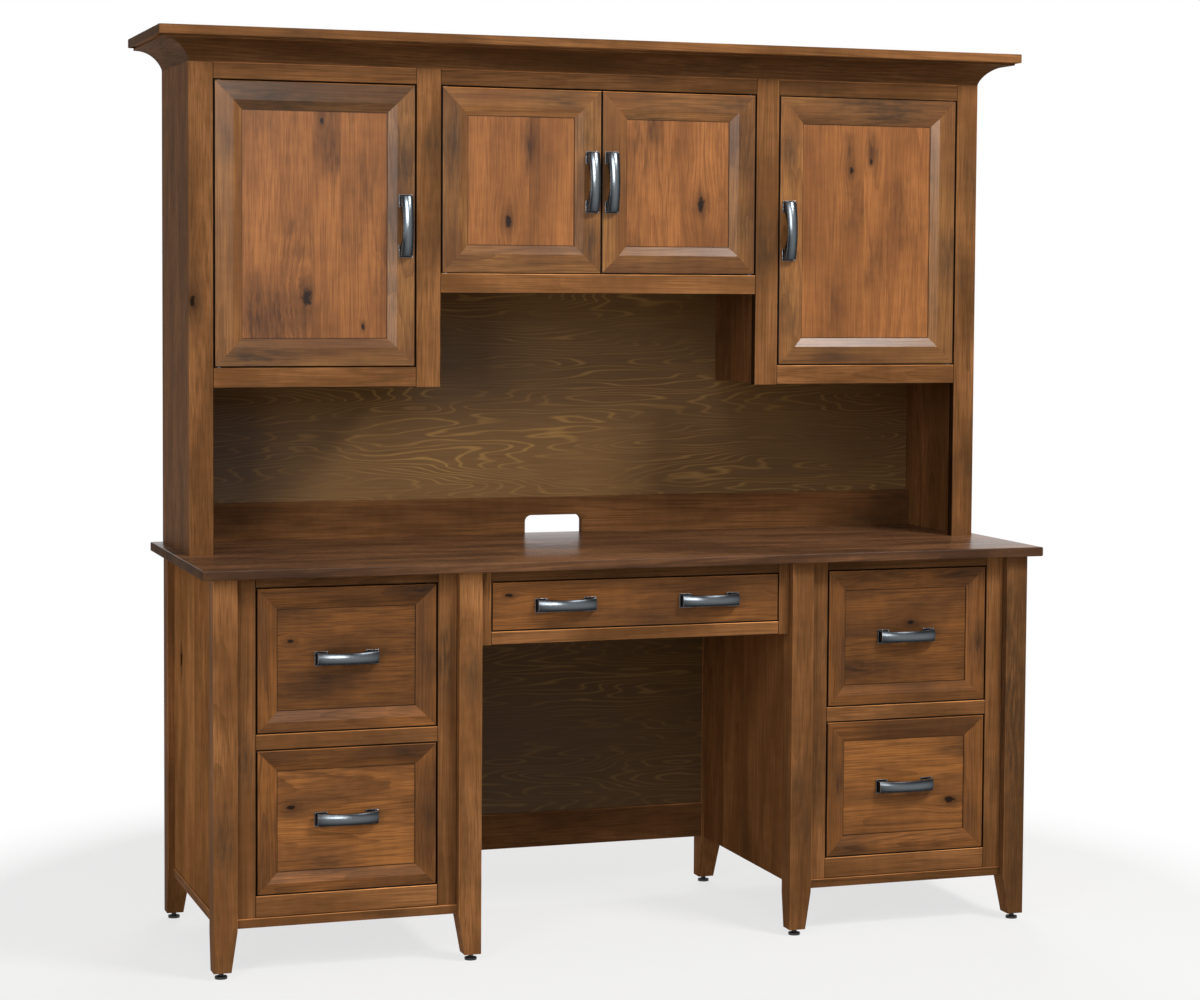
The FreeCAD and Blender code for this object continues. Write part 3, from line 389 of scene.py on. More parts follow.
def stain_wear_and_painted_light_share(node, face, worn, shade):
    """A face looks up, sideways or forward where that part of its normal is large."""
    at, normal, slot = face.calc_center_bounds(), face.normal, node_slot[node]
    by_gap = node.endswith(GAP_WALLS) and abs(at.x) < HUTCH_CORNER
    # upper eased edges: wear and a painted highlight
    if worn and normal.z > 0.3:
        return WEAR_AND_HIGHLIGHT_UP
    # eased edges by the gaps are painted shade, the others wear and a painted highlight
    if worn:
        return PAINTED_GAP_SHADE if by_gap else WEAR_AND_HIGHLIGHT_SIDE
    if slot == "top_wood" and abs(normal.x) > 0.7:
        return END_GRAIN
    if node == "desk_top" and normal.y < -0.7:
        return TOP_FRONT
    # the inner faces of the hutch sides: painted shade
    if node == "hutch_uprights" and at.x * normal.x < -0.3:
        return PAINTED_INSIDE_SHADE
    # the walls of the gaps round doors and drawers: painted shade
    if by_gap and max(abs(normal.x), abs(normal.z)) > 0.9 and face.calc_area() < WALL_AREA:
        return PAINTED_GAP_SHADE
    if slot == "plywood" and normal.y > 0.5:
        return 1 / shade    # the backs of the backs take no tone of their own
    if node.endswith(FRONTS) and 0.4 < -normal.y < 0.97:
        return SLOPE
    return 1.0


# the shares run from the painted gap shade to the painted highlight on upper edges
print("stain on a face is", PAINTED_GAP_SHADE, "to", WEAR_AND_HIGHLIGHT_UP, "times as pale as on its board")

# %% [markdown]
# ## Staves, grain and knots
# Wide panels are glued up from staves about 100 mm wide, and each stave was cut from its own place
# in a log. Four attributes on the face corners carry that. The grain vector holds metres along,
# across and into the stave, measured from the log's own heart, so that growth rings are rings round
# one axis and a slightly tilted cut gives arches. The knot vector holds the way to the stave's knot
# and the knot's radius. The smudge vector holds the way to its smoky patch, in units of the patch,
# and the tone says how dark the stave took the stain, with painted shade on some boards and faces
# and a painted highlight on some edges. A UV map could lay a picture of wood on the boards, but it
# would repeat. A seed from the stave's place makes each one different, and the same on every run.

# %% Write the attributes of each stave
VECTOR_LAYERS = ("grain", "knot", "smudge")
FAR_OFF = Vector((9, 9, 9))     # metres; a knot or smudge so far off doesn't show
KNOT_CHANCE, LONG_BOARD = 0.04, 0.3
KNOT_SLACK, SMUDGE_REACH = 8 * MM, 1.5


def holds(low, high, point, slack):
    return all(low[i] - slack <= point[i] * MM <= high[i] + slack for i in range(3))


def write_staves(bm, node, faces, box, axes, cuts):
    grain, knot, smudge = (bm.loops.layers.float_vector[name] for name in VECTOR_LAYERS)
    tone, worn = bm.loops.layers.float["tone"], bm.faces.layers.int["worn"]
    (low, high), (run, across, deep) = box, axes
    edges = [low[across], *cuts, high[across]]
    tones = TONES_AND_SHADE.get(node, [])
    for first, last in zip(edges, edges[1:]):
        middle = (low + high) / 2
        middle[across] = (first + last) / 2
        stave = low.copy(), high.copy()
        stave[0][across], stave[1][across] = first, last

        # where in its log the stave was cut, and how dark it is: its stain, and painted shade where
        # its listed tone stands for shade
        dice = random.Random(f"{node} {middle.x:.3f} {middle.y:.3f} {middle.z:.3f}")
        heart_across = dice.uniform(-0.35, 0.35) * (last - first)
        heart_deep = dice.choice((-1, 1)) * dice.uniform(22, 70) * MM
        lean, tilt = dice.uniform(-0.012, 0.012), dice.uniform(-0.05, 0.05)
        place = dice.uniform(0, 40)
        own = [t[3] for t in tones if holds(*stave, t, 0)]
        own += [t[3] for t in tones if holds(low, high, t, 0)] + [1.0]
        shade = own[0] * dice.uniform(0.9, 1.1)

        # its knot and its smoky patch, if it has one
        knots = [k for k in KNOTS.get(node, []) if holds(*stave, k, KNOT_SLACK)]
        length = high[run] - low[run]
        if knots:
            centre, radius = Vector(knots[0][:3]) * MM, knots[0][3] * MM
        elif dice.random() < KNOT_CHANCE and not tones and length > LONG_BOARD:
            centre, radius = middle.copy(), dice.uniform(3, 5) * MM
            centre[run] += dice.uniform(-0.4, 0.4) * length
        else:
            centre, radius = middle + FAR_OFF, 5 * MM
        smears = [(Vector(s[:3]) * MM, s[3] * MM, s[4] * MM) for s in SMUDGES.get(node, [])
                  if holds(*stave, s, SMUDGE_REACH * s[4] * MM)]
        smears.sort(key=lambda smear: (smear[0] - middle).length)
        patch, patch_long, patch_wide = (smears + [(middle + FAR_OFF, MM, MM)])[0]

        for face in faces:
            if not first <= face.calc_center_bounds()[across] <= last:
                continue
            share = shade * stain_wear_and_painted_light_share(node, face, face[worn], shade)
            for loop in face.loops:
                way = loop.vert.co - middle
                loop[grain] = (way[run] + place, way[across] + heart_across + lean * way[run],
                               way[deep] + heart_deep + tilt * way[run])
                way = loop.vert.co - centre
                loop[knot] = (way[run], way[across], radius)
                way = loop.vert.co - patch
                loop[smudge] = (way[run] / patch_long, way[across] / patch_wide, 0)
                loop[tone] = share


print("one stave in", round(1 / KNOT_CHANCE), "may get a knot by chance")

# %% [markdown]
# ## Cutting the staves
# A glued panel shows its joints as faint lines where the grain changes. The board is cut by planes
# at those joints, so that each stave has faces of its own to write on. Panels in frames are also
# cut just inside the frame, where a dark line is stain that gathers in the corner and was never
# wiped out, and painted shade in the step down to the panel. A mask in the material could darken
# that corner too, but cut faces keep the line crisp.

# %% Cut boards into staves and write on them
# the band inside a frame: gathered stain and painted shade in the step down to the panel
GLAZE, GLAZE_AND_SHADE_DARK = 1.7 * MM, 0.35
ON_PLANE = 0.001 * MM


def stave_cuts(node, low, high, across, stave_width):
    """Joints of a wide board: those that the picture shows, and even ones between."""
    wide = (high - low)[across]
    if not stave_width or wide <= 1.5 * stave_width:
        return []
    seen = [at * MM for at in JOINTS.get(node, []) if low[across] < at * MM < high[across]]
    count = round(wide / stave_width)
    even = [low[across] + wide * i / count for i in range(1, count)]
    return sorted(seen + [at for at in even if all(abs(at - s) > 0.5 * stave_width for s in seen)])


def sight_of(boxes):
    """The opening that a frame's four members leave, as its lowest and highest corner."""
    low, high = Vector((0, 0, 0)), Vector((0, 0, 0))
    for axis in (0, 2):
        low[axis] = min(top[axis] for bottom, top in boxes)
        high[axis] = max(bottom[axis] for bottom, top in boxes)
    return low, high


def grow_grain(bm, node, stave_width):
    boards = boards_of(bm)
    boxes = [extent(board) for board in boards]
    sight = None
    if node.endswith("door_panel"):
        frame_mesh = merged_copy(node.replace("_panel", "_frame"))
        sight = sight_of([extent(board) for board in boards_of(frame_mesh)])
        frame_mesh.free()
    elif node.endswith(("upper_drawer_front", "lower_drawer_front")):
        sight = sight_of(boxes)
    for board, (low, high) in zip(boards, boxes):
        size = high - low
        run, across, deep = sorted(range(3), key=lambda i: -size[i])
        cuts = stave_cuts(node, low, high, across, stave_width)
        planes = [(across, at) for at in cuts]
        panel = sight and all(low[i] < sight[0][i] and high[i] > sight[1][i] for i in (0, 2))
        if panel:
            inner_low, inner_high = ([corner[i] + step for i in range(3)]
                                     for corner, step in zip(sight, (GLAZE, -GLAZE)))
            planes += [(axis, at[axis]) for axis in (0, 2) for at in (inner_low, inner_high)]
        parts = list(dict.fromkeys(part for face in board
                                   for part in (face, *face.edges, *face.verts)))
        for axis, at in planes:
            parts = bmesh.ops.bisect_plane(bm, geom=parts, dist=ON_PLANE, plane_co=AXES[axis] * at,
                                           plane_no=AXES[axis])["geom"]
        faces = [part for part in parts if isinstance(part, bmesh.types.BMFace)]
        write_staves(bm, node, faces, (low, high), (run, across, deep), cuts)
        # the band just inside the frame gets gathered stain and painted shade
        if panel:
            tone = bm.loops.layers.float["tone"]
            for face in faces:
                at = face.calc_center_bounds()
                if not all(inner_low[i] < at[i] < inner_high[i] for i in (0, 2)):
                    for loop in face.loops:
                        loop[tone] *= GLAZE_AND_SHADE_DARK


print("the dark line inside a frame is", round(GLAZE / MM, 1), "mm wide")

# %% [markdown]
# ## Pieces that stand for nodes
# The imported boards themselves are never changed. Each finished board is a new piece that rides on
# the same body, gets a material for the same finish slot and stands in the imported board's place,
# so that a door still opens with everything on it.

# %% Make a finished piece
def object_of(name, bm):
    mesh = bpy.data.meshes.new(name)
    bm.to_mesh(mesh)
    bm.free()
    made = bpy.data.objects.new(name, mesh)
    bpy.context.scene.collection.objects.link(made)
    return made


def stand_for(node, bm):
    """Makes the mesh a piece that takes the node's place and rides on its body."""
    piece = object_of(node + "_finished", bm)
    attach(piece, node_body[node])
    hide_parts(node)
    return piece


def finished_piece(node, ease=0.8, with_ends=False, stave_width=None):
    """A copy of the node with eased edges and grain, which stands for it."""
    bm = merged_copy(node)
    for name in VECTOR_LAYERS:
        bm.loops.layers.float_vector.new(name)
    bm.loops.layers.float.new("tone")
    worn_at = bm.faces.layers.int.new("worn")
    worn = ease_arrises(bm, ease * MM, with_ends)
    soft_shade(bm, worn)
    for face in worn:
        face[worn_at] = 1
    grow_grain(bm, node, stave_width and stave_width * MM)
    return stand_for(node, bm)


print(len(set(node_body.values())), "bodies wait for their finished pieces")

# %% [markdown]
# ## Stained hardwood
# The wood is a rustic cherry type of hardwood: fine grained, with thin growth lines, long fibre
# streaks, smoky patches where the stain took unevenly, and knots. Its fibres wave a little, which
# gives a faint ripple called curl. It was sanded, wiped with stain and sprayed with satin lacquer.
# Rings could be a Wave texture, but measuring the distance from the log's heart by hand lets the
# knots push the rings aside. Real rings are 2 to 4 mm apart and real fibres a few tenths of a
# millimetre wide, so both are drawn as coarse as they need to be to show.

# %% The sizes of the wood's patterns
RING, RING_WANDER, RAGGED = 7 * MM, 26 * MM, 10.526 * MM
# each pattern's millimetres along and across the board, then its noise's detail and roughness
PATTERNS = {
    "wander": (500, 76.923, 3, 0.5),        # how the rings drift along the board
    "streak": (416.67, 5.8824, 2, 0.5),     # long dull streaks
    "fibre": (166.67, 2.3256, 2, 0.5),      # fibres, drawn coarse
    "cloud": (294.12, 71.429, 4, 0.5),      # paler and darker wood
    "smoke": (277.78, 111.11, 4, 0.6),      # where the stain took unevenly
    "lined": (625, 111.11, 2, 0.5),         # where the dark ring lines show
    "fleck": (41.667, 6.6667, 4, 0.5),      # flecks that break the smoky patches up
    "curl": (22.727, 50, 5, 0.5),           # the ripple across the grain
}
# the part of a noise's range that counts, and the share of colour that it stands for
SHARES = {
    "streak": (0.44, 0.68, 0.0, 0.4, LINEAR),
    "fibre": (0.42, 0.68, 0.0, 0.6, LINEAR),
    "cloud": (0.34, 0.66, 0.0, 1.0, SMOOTH),
    "smoke": (0.5, 0.8, 0.0, 0.8, SMOOTH),
    "lined": (0.4, 0.62, 0.06, 0.5, LINEAR),
    "fleck": (0.36, 0.64, 0.45, 1.1, LINEAR),
    "curl": (0.3, 0.7, 0.92, 1.06, LINEAR),
}
finest = min(size[1] for size in PATTERNS.values())
print(len(PATTERNS), "patterns, the finest", finest, "mm wide")

# %% Knots, rings and patterns of a board
# where the pull of a knot begins and ends in radii, and the part of a ring that is its dark line
KNOT_NEAR, RING_LINE = (1.0, 8.0), (0.55, 0.97)
KNOT_OVAL, KNOT_RAGGED, KNOT_PUSH = (0.5, 1, 0), 1.5, -0.75
SMUDGE_RIM, SMUDGE_MOST, SMUDGE_RAGGED = (0.8, 2.1), 0.92, 1.9


def board_patterns(add):
    grain, knot, smudge = (add(ATTRIBUTE, attribute_name=name, out="Vector")
                           for name in VECTOR_LAYERS)
    place = add("ShaderNodeTexCoord", out="Object")

    # a knot is an oval along the grain with a ragged rim, in units of its own radius
    way = add("ShaderNodeSeparateXYZ", {0: knot}, out=None)
    oval = add(VECTOR, {0: knot, 1: KNOT_OVAL}, operation="MULTIPLY")
    reach = add(VECTOR, {0: oval}, operation="LENGTH", out="Value")
    radii = add(MATH, {0: reach, 1: way["Z"]}, operation="DIVIDE")
    ragged = add(NOISE, {"Vector": place, "Scale": 1 / RAGGED, "Detail": 2})
    radii = add(MATH, {0: ragged, 1: KNOT_RAGGED, 2: radii}, operation="MULTIPLY_ADD")
    near = add(RANGE, {0: radii, 1: KNOT_NEAR[0], 2: KNOT_NEAR[1], 3: 1.0, 4: 0.0},
               interpolation_type=SMOOTH)

    # everything that follows the grain parts round the knot
    push = add(MATH, {0: way["Y"], 1: near}, operation="MULTIPLY")
    push = add(MATH, {0: push, 1: KNOT_PUSH}, operation="MULTIPLY")
    push = add("ShaderNodeCombineXYZ", {"Y": push})
    bent = add(VECTOR, {0: grain, 1: push}, operation="ADD")
    noise, share = {}, {}
    for pattern, (along, across, detail, coarse) in PATTERNS.items():
        stretch = [1 / (size * MM) for size in (along, across, across)]
        at = add(VECTOR, {0: bent, 1: stretch}, operation="MULTIPLY")
        noise[pattern] = add(NOISE, {"Vector": at, "Scale": 1, "Detail": detail,
                                     "Roughness": coarse})
    for pattern, (low, high, least, most, curve) in SHARES.items():
        share[pattern] = add(RANGE, {0: noise[pattern], 1: low, 2: high, 3: least, 4: most},
                             interpolation_type=curve)

    # rings lie round the log's heart, and wander along the board
    heart = add(VECTOR, {0: bent, 1: (0, 1, 1)}, operation="MULTIPLY")
    heart = add(VECTOR, {0: heart}, operation="LENGTH", out="Value")
    heart = add(MATH, {0: noise["wander"], 1: RING_WANDER, 2: heart}, operation="MULTIPLY_ADD")
    rings = add(MATH, {0: heart, 1: RING}, operation="DIVIDE")
    rings = add(MATH, {0: rings}, operation="FRACT")
    rings = add(RANGE, {0: rings, 1: RING_LINE[0], 2: RING_LINE[1]}, interpolation_type=SMOOTH)

    # a placed smudge is a soft patch with a ragged rim, and flecks break it up
    smear = add(VECTOR, {0: smudge}, operation="LENGTH", out="Value")
    smear = add(MATH, {0: noise["wander"], 1: SMUDGE_RAGGED, 2: smear}, operation="MULTIPLY_ADD")
    smear = add(RANGE, {0: smear, 1: SMUDGE_RIM[0], 2: SMUDGE_RIM[1], 3: SMUDGE_MOST, 4: 0.0},
                interpolation_type=SMOOTH)
    haze = add(MATH, {0: share["smoke"], 1: smear}, operation="MAXIMUM")
    haze = add(MATH, {0: haze, 1: share["fleck"]}, operation="MULTIPLY", use_clamp=True)
    return radii, rings, haze, share


print("a knot pushes the grain aside up to", KNOT_NEAR[1], "of its radii off")

# %% Mix a stained wood
# a knot's dark halo and its nearly black heart: where they begin and end in radii, and how strong
KNOT_TINTS = ((1.5, 4.0, 0.5, "#3d2414"), (1.3, 1.9, 0.94, "#120b06"))
ROUGHEST, RELIEF, LACQUER_ROUGH = 0.7, 0.3 * MM, 0.2


def stained_wood(name, light, dark, late, smoke, rough, gloss, coat):
    material, add = new_material(name)
    radii, rings, haze, share = board_patterns(add)
    lines = add(MATH, {0: rings, 1: share["lined"]}, operation="MULTIPLY")
    colour = linear(light)
    for part, tint in ((share["cloud"], dark), (lines, late), (share["streak"], dark),
                       (share["fibre"], late), (haze, smoke)):
        colour = add(MIX, {0: part, 6: colour, 7: linear(tint)}, data_type="RGBA", out=2)
    tone = add(ATTRIBUTE, attribute_name="tone", out="Fac")
    tone = add(MATH, {0: share["curl"], 1: tone}, operation="MULTIPLY")
    colour = add(VECTOR, {0: colour, "Scale": tone}, operation="SCALE")
    for inner, outer, most, tint in KNOT_TINTS:
        part = add(RANGE, {0: radii, 1: inner, 2: outer, 3: most, 4: 0.0},
                   interpolation_type=SMOOTH)
        colour = add(MIX, {0: part, 6: colour, 7: linear(tint)}, data_type="RGBA", out=2)
    roughness = add(RANGE, {0: share["fibre"], 2: ROUGHEST, 3: rough[0], 4: rough[1]})
    relief = add(MATH, {0: rings, 1: share["fibre"]}, operation="ADD")
    bump = add("ShaderNodeBump", {"Height": relief, "Strength": 0.06, "Distance": RELIEF})
    shader = add("ShaderNodeBsdfPrincipled",
                 {"Base Color": colour, "Roughness": roughness, "Normal": bump,
                  "Specular IOR Level": gloss, "Coat Weight": coat,
                  "Coat Roughness": LACQUER_ROUGH})
    add("ShaderNodeOutputMaterial", {"Surface": shader}, out=None)
    return material


print("knots are tinted", ", ".join(tint for *reach, tint in KNOT_TINTS))

# %% Seven woods
MATT, SATIN, RUBBED = (0.58, 0.7), (0.42, 0.54), (0.24, 0.34)
# door panels: the warmest wood, with sooty patches and a dull satin sheen
panel_cherry = stained_wood("stained_cherry_door_panel", "#b87742", "#915c32", "#744626",
                            "#39261a", SATIN, 0.1, 0.05)
# door frames: browner, with a fuller lacquer that mirrors the lamps on the slopes
frame_cherry = stained_wood("stained_cherry_door_frame", "#a3703d", "#7b4f29", "#5c381b",
                            "#4c3520", SATIN, 0.06, 0.26)
# drawer fronts: a deeper stain and hardly any shine
drawer_cherry = stained_wood("stained_cherry_drawer_front", "#966030", "#6a4424", "#4c2f18",
                             "#3c2819", SATIN, 0.06, 0.05)
# the case: rubbed nearly matt, so that legs and frames stay quiet beside the fronts
case_cherry = stained_wood("stained_cherry_case", "#a16d42", "#784f2d", "#5a3c20",
                           "#553d28", MATT, 0.02, 0.0)
# side panels: paler and quite matt
side_cherry = stained_wood("stained_cherry_side_panel", "#cb8b54", "#a56d40", "#805632",
                           "#7a5a3c", MATT, 0.0, 0.0)
# the desk top: rubbed out smooth, so that it carries a long soft reflection
top_cherry = stained_wood("stained_cherry_top", "#a06f4b", "#60412d", "#463021",
                          "#4b3628", RUBBED, 0.07, 0.0)
# drawer boxes: pale unstained maple under clear lacquer
drawer_maple = stained_wood("lacquered_maple_drawer_box", "#dcbd90", "#cda97a", "#bb9463",
                            "#c6a172", SATIN, 0.2, 0.0)
print("seven woods, each with", len(top_cherry.node_tree.nodes), "nodes")

# %% [markdown]
# ## Rotary-cut plywood
# The backs are plywood with a face veneer peeled round the log, so the rings are cut almost flat
# and show as wide wandering contour lines. A stretched Wave texture would make them too regular.
# Lines of equal height in a slow, stretched noise look right: the noise is multiplied up, and each
# whole number draws one thin golden line.

# %% Mix the plywood
# millimetres along and across the sheet, then the noise's detail and roughness
VENEER = {
    "height": (1428.571, 166.6667, 3.5, 0.46),  # the slow hills that the contour lines follow
    "patch": (333.333, 111.111, 2, 0.5),        # where the lines show and where they fade
    "fibre": (111.111, 3.84615, 2, 0.5),        # fibres, drawn coarse
}
LEVELS, LINE_EDGE = 60, (0.01, 0.19)


def rotary_plywood(name, ground, shade, gold):
    material, add = new_material(name)
    grain = add(ATTRIBUTE, attribute_name="grain", out="Vector")
    tone = add(ATTRIBUTE, attribute_name="tone", out="Fac")
    noise = {}
    for pattern, (along, across, detail, coarse) in VENEER.items():
        stretch = (1 / (along * MM), 1 / (across * MM), 0)
        at = add(VECTOR, {0: grain, 1: stretch}, operation="MULTIPLY")
        noise[pattern] = add(NOISE, {"Vector": at, "Scale": 1, "Detail": detail,
                                     "Roughness": coarse})
    levels = add(MATH, {0: noise["height"], 1: LEVELS}, operation="MULTIPLY")
    levels = add(MATH, {0: levels, 1: 0.5}, operation="PINGPONG")
    lines = add(RANGE, {0: levels, 1: LINE_EDGE[0], 2: LINE_EDGE[1], 3: 1.0, 4: 0.0},
                interpolation_type=SMOOTH)
    patch = add(RANGE, {0: noise["patch"], 1: 0.34, 2: 0.66, 3: 0.05, 4: 0.75})
    lines = add(MATH, {0: lines, 1: patch}, operation="MULTIPLY")
    fibre = add(RANGE, {0: noise["fibre"], 1: 0.3, 2: 0.7, 3: 0.1, 4: 0.6})
    colour = linear(ground)
    for part, tint in ((fibre, shade), (lines, gold)):
        colour = add(MIX, {0: part, 6: colour, 7: linear(tint)}, data_type="RGBA", out=2)
    colour = add(VECTOR, {0: colour, "Scale": tone}, operation="SCALE")
    roughness = add(RANGE, {0: noise["fibre"], 3: 0.42, 4: 0.56})
    bump = add("ShaderNodeBump", {"Height": noise["fibre"], "Strength": 0.1, "Distance": RELIEF})
    shader = add("ShaderNodeBsdfPrincipled",
                 {"Base Color": colour, "Roughness": roughness, "Normal": bump,
                  "Specular IOR Level": 0.12})
    add("ShaderNodeOutputMaterial", {"Surface": shader}, out=None)
    return material


# the backs: olive brown with thin golden contour lines and little shine
back_plywood = rotary_plywood("stained_rotary_cut_plywood", "#7f5d35", "#624524", "#b0864a")
print("plywood:", back_plywood.name, "with", len(back_plywood.node_tree.nodes), "nodes")

# %% [markdown]
# ## Metal and plastic
# The pulls are cast zinc with a dark pewter plating that has rubbed paler on its edges and along
# its crown, and the pale band on the crown is also a painted highlight. The drawer slides are
# zinc-plated steel, rolled, so they carry a faint cloudy passivation, and the pins are turned
# steel, blackened in oil. The levelers and catches are black moulded plastic with a fine sparked
# grain.
# Their patterns don't follow any one direction of the piece, so they read Object coordinates. Only
# the crown's wear and painted highlight follow the pull, and so they are an attribute on the pull's
# points.

# %% Mix the metals
CAST_GRAIN, CAST_RELIEF = 1.2 * MM, 0.1 * MM


def plated_metal(name, light, dark, patch_mm, rough, crown_wear_and_highlight_colour=None):
    material, add = new_material(name)
    place = add("ShaderNodeTexCoord", out="Object")
    patch = add(NOISE, {"Vector": place, "Scale": 1 / (patch_mm * MM), "Detail": 4})
    share = add(RANGE, {0: patch, 1: 0.3, 2: 0.7})
    colour = add(MIX, {0: share, 6: linear(light), 7: linear(dark)}, data_type="RGBA", out=2)
    # the band along the crown: rubbed wear and a painted highlight
    if crown_wear_and_highlight_colour:
        crown_wear_and_highlight = add(ATTRIBUTE, attribute_name="crown_wear_and_highlight", out="Fac")
        colour = add(MIX, {0: crown_wear_and_highlight, 6: colour, 7: linear(crown_wear_and_highlight_colour)}, data_type="RGBA", out=2)
    roughness = add(RANGE, {0: patch, 1: 0.3, 2: 0.7, 3: rough[0], 4: rough[1]})
    fine = add(NOISE, {"Vector": place, "Scale": 1 / CAST_GRAIN, "Detail": 2})
    bump = add("ShaderNodeBump", {"Height": fine, "Strength": 0.08, "Distance": CAST_RELIEF})
    shader = add("ShaderNodeBsdfPrincipled",
                 {"Base Color": colour, "Metallic": 1.0, "Roughness": roughness, "Normal": bump})
    add("ShaderNodeOutputMaterial", {"Surface": shader}, out=None)
    return material


# nearly black metal with a bright band along the crown: rubbed wear and a painted highlight
dark_pewter = plated_metal("dark_pewter_plating", "#2c2f32", "#212325", 9, (0.2, 0.26), "#63686c")
# pale worn rims round the dark plating
rubbed_pewter = plated_metal("rubbed_pewter_edges", "#a9a9aa", "#858587", 5, (0.24, 0.32))
# cool grey slides with a cloudy shine
zinc_steel = plated_metal("zinc_plated_steel", "#c3c6c9", "#a6a9ad", 14, (0.28, 0.4))
# dull dark pins
blackened_steel = plated_metal("oil_blackened_steel_pins", "#4c4c4e", "#37373a", 6, (0.35, 0.48))
metals = (dark_pewter, rubbed_pewter, zinc_steel, blackened_steel)
print(len(metals), "metals:", ", ".join(metal.name for metal in metals))

# %% Mix the black plastic
SPARK = 1.5 * MM
# soft black with a grain that breaks up its highlights
black_nylon, add = new_material("black_moulded_nylon")
place = add("ShaderNodeTexCoord", out="Object")
spark = add(NOISE, {"Vector": place, "Scale": 1 / SPARK, "Detail": 2})
colour = add(MIX, {0: spark, 6: linear("#101010"), 7: linear("#1f1f20")}, data_type="RGBA", out=2)
roughness = add(RANGE, {0: spark, 3: 0.42, 4: 0.6})
bump = add("ShaderNodeBump", {"Height": spark, "Strength": 0.15, "Distance": CAST_RELIEF})
shader = add("ShaderNodeBsdfPrincipled",
             {"Base Color": colour, "Roughness": roughness, "Normal": bump})
add("ShaderNodeOutputMaterial", {"Surface": shader}, out=None)
print("plastic:", black_nylon.name)

# %% [markdown]
# ## Dressing the boards
# Every wooden node now gets its finished copy. Tops are glued from wide staves, panels from narrow
# ones, and frame members are single boards. Fronts, cases and backs take the stain differently, so
# each slot names its wood, its ease and its staves in millimetres.

# %% Finish the wood
WOOD = {
    "top_wood": dict(material=top_cherry, ease=0.8, stave_width=118),
    "case_wood": dict(material=case_cherry, ease=1.3, stave_width=110),
    "front_wood": dict(material=frame_cherry, ease=1.3, stave_width=105),
    "front_panel_wood": dict(material=panel_cherry, ease=0.5, stave_width=100),
    "plywood": dict(material=back_plywood, ease=0.4, stave_width=None),
    "drawer_wood": dict(material=drawer_maple, ease=0.8, with_ends=True, stave_width=None),
}
finished = {}
for node in sorted(nodes):
    if node_slot[node] in WOOD:
        finish = dict(WOOD[node_slot[node]])
        material = finish.pop("material")
        if node.endswith("drawer_front"):
            material = drawer_cherry
        elif node == "cornice_board":
            material = case_cherry
        elif node == "pedestal_side_panels":
            material = side_cherry
        finished[node] = finished_piece(node, **finish)
        finished[node].data.materials.append(material)

# sawn across, the ends of the top drink more stain and stay matt
top = finished["desk_top"].data
top.materials.append(case_cherry)
for polygon in top.polygons:
    polygon.material_index = int(abs(polygon.normal.x) > 0.7)
print(len(finished), "wooden pieces are finished, with eases of",
      min(f["ease"] for f in WOOD.values()), "to", max(f["ease"] for f in WOOD.values()), "mm")

# %% [markdown]
# ## Bow pulls
# Each pull is a cast strap that bows out between two small foot plates. The strap is narrower in
# the middle and crowned across its width. Hands have rubbed that crown bright, and the long pale
# band along it is also a painted highlight. A curve with a profile could make it, but a block that
# is divided lengthwise and across takes the shape when each of its points is moved to its place,
# and stays easy to change. The foot plates get a raised rim by insetting their faces. The sizes are
# those of the imported pull, with a waist that is a little wider.

# %% The strap of a pull, in millimetres along, across and out from the front
STRAP_HALF, STRAP_WIDE, STRAP_WAIST, END_RISE, MID_RISE = 60, 12, 11, 18, 29
GAP_HALF, GAP_RISE, CROWN = 41, 19, 3.6
PLATE_THICK, SEAT, LEAST_THICK = 3, 0.5, 1.5


def bow_strap():
    bm = bmesh.new()
    bmesh.ops.create_cube(bm, size=2)
    for axis, cuts in ((0, 47), (1, 13)):
        lines = [e for e in bm.edges if abs((e.verts[1].co - e.verts[0].co)[axis]) > 1.9]
        bmesh.ops.subdivide_edges(bm, edges=lines, cuts=cuts, use_grid_fill=True)
    for vert in bm.verts:
        u, v, top = vert.co.x, vert.co.y, vert.co.z > 0
        bow = 1 - u * u
        half = STRAP_WIDE - (STRAP_WIDE - STRAP_WAIST) * bow
        gap = GAP_RISE * (1 - (u * STRAP_HALF / GAP_HALF) ** 2)
        under = PLATE_THICK - SEAT + max(0, gap + SEAT)
        rise = END_RISE + (MID_RISE - END_RISE) * bow - CROWN * v * v
        vert.co = (u * STRAP_HALF, v * half, rise if top else min(under, rise - LEAST_THICK))
    return bm


trial = bow_strap()
print("a strap has", len(trial.faces), "faces before its edges are eased")
trial.free()

# %% The foot plates and the whole pull
PULL_HALF, PLATE_HALF, PLATE_WIDE, RIM, SINK = 63, 12.5, 14, 1.3, 0.8
PULL_EASE = 0.45
CROWN_HALF, CROWN_REACH, CROWN_LOWEST = 8, 1.1 * STRAP_HALF, END_RISE - CROWN - 1


def foot_plate(bm, middle):
    verts = bmesh.ops.create_cube(bm, size=1)["verts"]
    bmesh.ops.scale(bm, vec=(2 * PLATE_HALF, 2 * PLATE_WIDE, PLATE_THICK), verts=verts)
    bmesh.ops.translate(bm, vec=(middle, 0, PLATE_THICK / 2), verts=verts)
    top = [f for f in dict.fromkeys(f for v in verts for f in v.link_faces) if f.normal.z > 0.9]
    rim = bmesh.ops.inset_region(bm, faces=top, thickness=RIM, depth=0)["faces"]
    for face in rim:
        face.material_index = 1
    sunk = list(dict.fromkeys(v for f in top for v in f.verts))
    bmesh.ops.translate(bm, vec=(0, 0, -SINK), verts=sunk)


